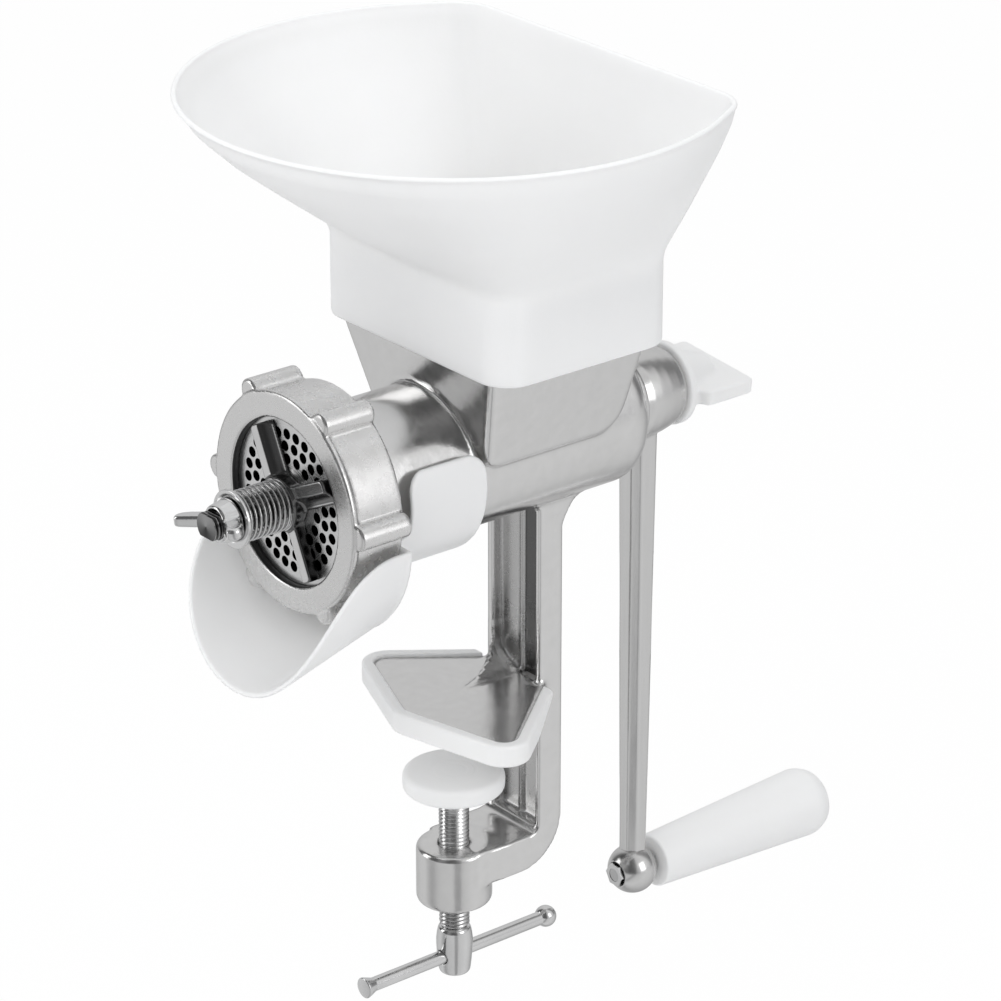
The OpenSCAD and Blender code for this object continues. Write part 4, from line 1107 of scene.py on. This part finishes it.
# -------- stage, light and camera
def rays(s):
    """Whether a ray comes from the camera, and whether it comes from a mirroring face."""
    path = s.tree.nodes.new("ShaderNodeLightPath")
    return Wire(s, path.outputs["Is Camera Ray"]), Wire(s, path.outputs["Is Glossy Ray"])


def by_azimuth(s, where, levels):
    """Grey levels round the vertical axis, by share of a turn from -X."""
    around = s.math("ARCTAN2", s.part(where, "Y"), s.part(where, "X")) / (2 * math.pi) + 0.5
    return s.ramp([(place, grey(v)) for place, v in levels], around)


floor_material, s = finish("pale_floor")
to_eye, to_gloss = rays(s)
plain = s.node("ShaderNodeBsdfDiffuse", None, Color=(0.9, 0.9, 0.9, 1))
# polished faces mirror the table: pale, with darker places where people and walls would stand
levels = [(0.0, 0.5), (0.06, 0.62), (0.13, 0.66), (0.2, 0.3), (0.27, 0.56), (0.385, 0.62), (0.405, 0.27),
          (0.44, 0.27), (0.465, 0.6), (0.6, 0.74), (0.68, 0.64), (0.78, 0.3), (0.86, 0.6), (1.0, 0.5)]
glow = s.blend(to_gloss, (1, 1, 1, 1), by_azimuth(s, s.place(), levels))
lit = s.node("ShaderNodeEmission", None, Color=glow, Strength=1.0)
mix = s.node("ShaderNodeMixShader", None, to_eye * 0.97 + to_gloss * 0.8, plain, lit)
s.end("ShaderNodeOutputMaterial", mix)
floor_mesh = bpy.data.meshes.new("floor")
reach, low = 6.0, -0.19
corners = [(-reach, -reach, low), (reach, -reach, low), (reach, reach, low), (-reach, reach, low)]
floor_mesh.from_pydata(corners, [], [(0, 1, 2, 3)])
floor_mesh.materials.append(floor_material)
floor = add_object("floor", floor_mesh)

world = bpy.data.worlds.new("studio")
bpy.context.scene.world = world
world.use_nodes = True
s = Sheet(world.node_tree)
to_eye, to_gloss = rays(s)
way = s.node("ShaderNodeTexCoord", out=0)
# tall dark flags between the soft boxes give the metal its contrast
levels = [(0.0, 0.8), (0.03, 0.6), (0.06, 0.1), (0.24, 0.15), (0.28, 0.4), (0.35, 0.15), (0.43, 0.2),
          (0.47, 0.85), (0.64, 1.0), (0.71, 0.3), (0.76, 0.35), (0.8, 0.9), (0.92, 0.9), (1.0, 0.8)]
sky = s.ramp([(0.0, (0.75, 0.75, 0.76, 1)), (0.55, (0.85, 0.85, 0.86, 1)), (0.8, (1, 1, 1, 1)),
              (1.0, (1, 1, 1, 1))], s.part(way, "Z") * 0.5 + 0.5)
room = s.node("ShaderNodeVectorMath", {"operation": "MULTIPLY"}, by_azimuth(s, way, levels), sky)
soft = s.node("ShaderNodeBackground", None, Color=(0.97, 0.98, 1.0, 1), Strength=0.62)
seen = s.node("ShaderNodeBackground", None, Color=room, Strength=0.8)
white = s.node("ShaderNodeBackground", None, Color=(1, 1, 1, 1), Strength=1.0)
both = s.node("ShaderNodeMixShader", None, to_gloss, soft, seen)
s.end("ShaderNodeOutputWorld", s.node("ShaderNodeMixShader", None, to_eye, both, white))


def soft_box(name, at, aim, size, power, mirrored=True):
    """A soft light at a point in metres, which polished metal may or may not mirror."""
    lamp = bpy.data.lights.new(name, "AREA")
    lamp.shape, lamp.size, lamp.size_y, lamp.energy = "RECTANGLE", size[0], size[1], power
    holder = add_object(name, lamp)
    holder.location = at
    holder.visible_glossy = mirrored
    holder.rotation_euler = (Vector(aim) - Vector(at)).to_track_quat("-Z", "Y").to_euler()


soft_box("key_box", (0.55, -1.35, 1.25), (0, 0, 0.08), (1.0, 1.0), 10.5, mirrored=False)
soft_box("fill_box", (1.7, 0.5, 0.7), (0, 0, 0.05), (0.9, 1.2), 5.6)
soft_box("left_box", (-1.1, -1.3, 0.5), (0, 0, 0.1), (0.6, 1.2), 4.4)
soft_box("top_box", (-0.2, 0.3, 1.6), (0, 0, 0.1), (1.4, 1.4), 7.5, mirrored=False)

lens = bpy.data.cameras.new("view")
lens.sensor_width = 36
lens.lens = 4370 / 1001 * lens.sensor_width
lens.clip_end = 50
eye = add_object("view", lens)
turn, rise, distance = math.radians(50.96), math.radians(23.66), 1.748
aim = Vector((0.00067, 0.024, 0.08679))
away = Vector((math.sin(turn) * math.cos(rise), -math.cos(turn) * math.cos(rise), math.sin(rise)))
eye.location = aim + distance * away
eye.rotation_euler = (aim - eye.location).to_track_quat("-Z", "Y").to_euler()
bpy.context.scene.camera = eye
bpy.context.scene.view_settings.view_transform = "Standard"
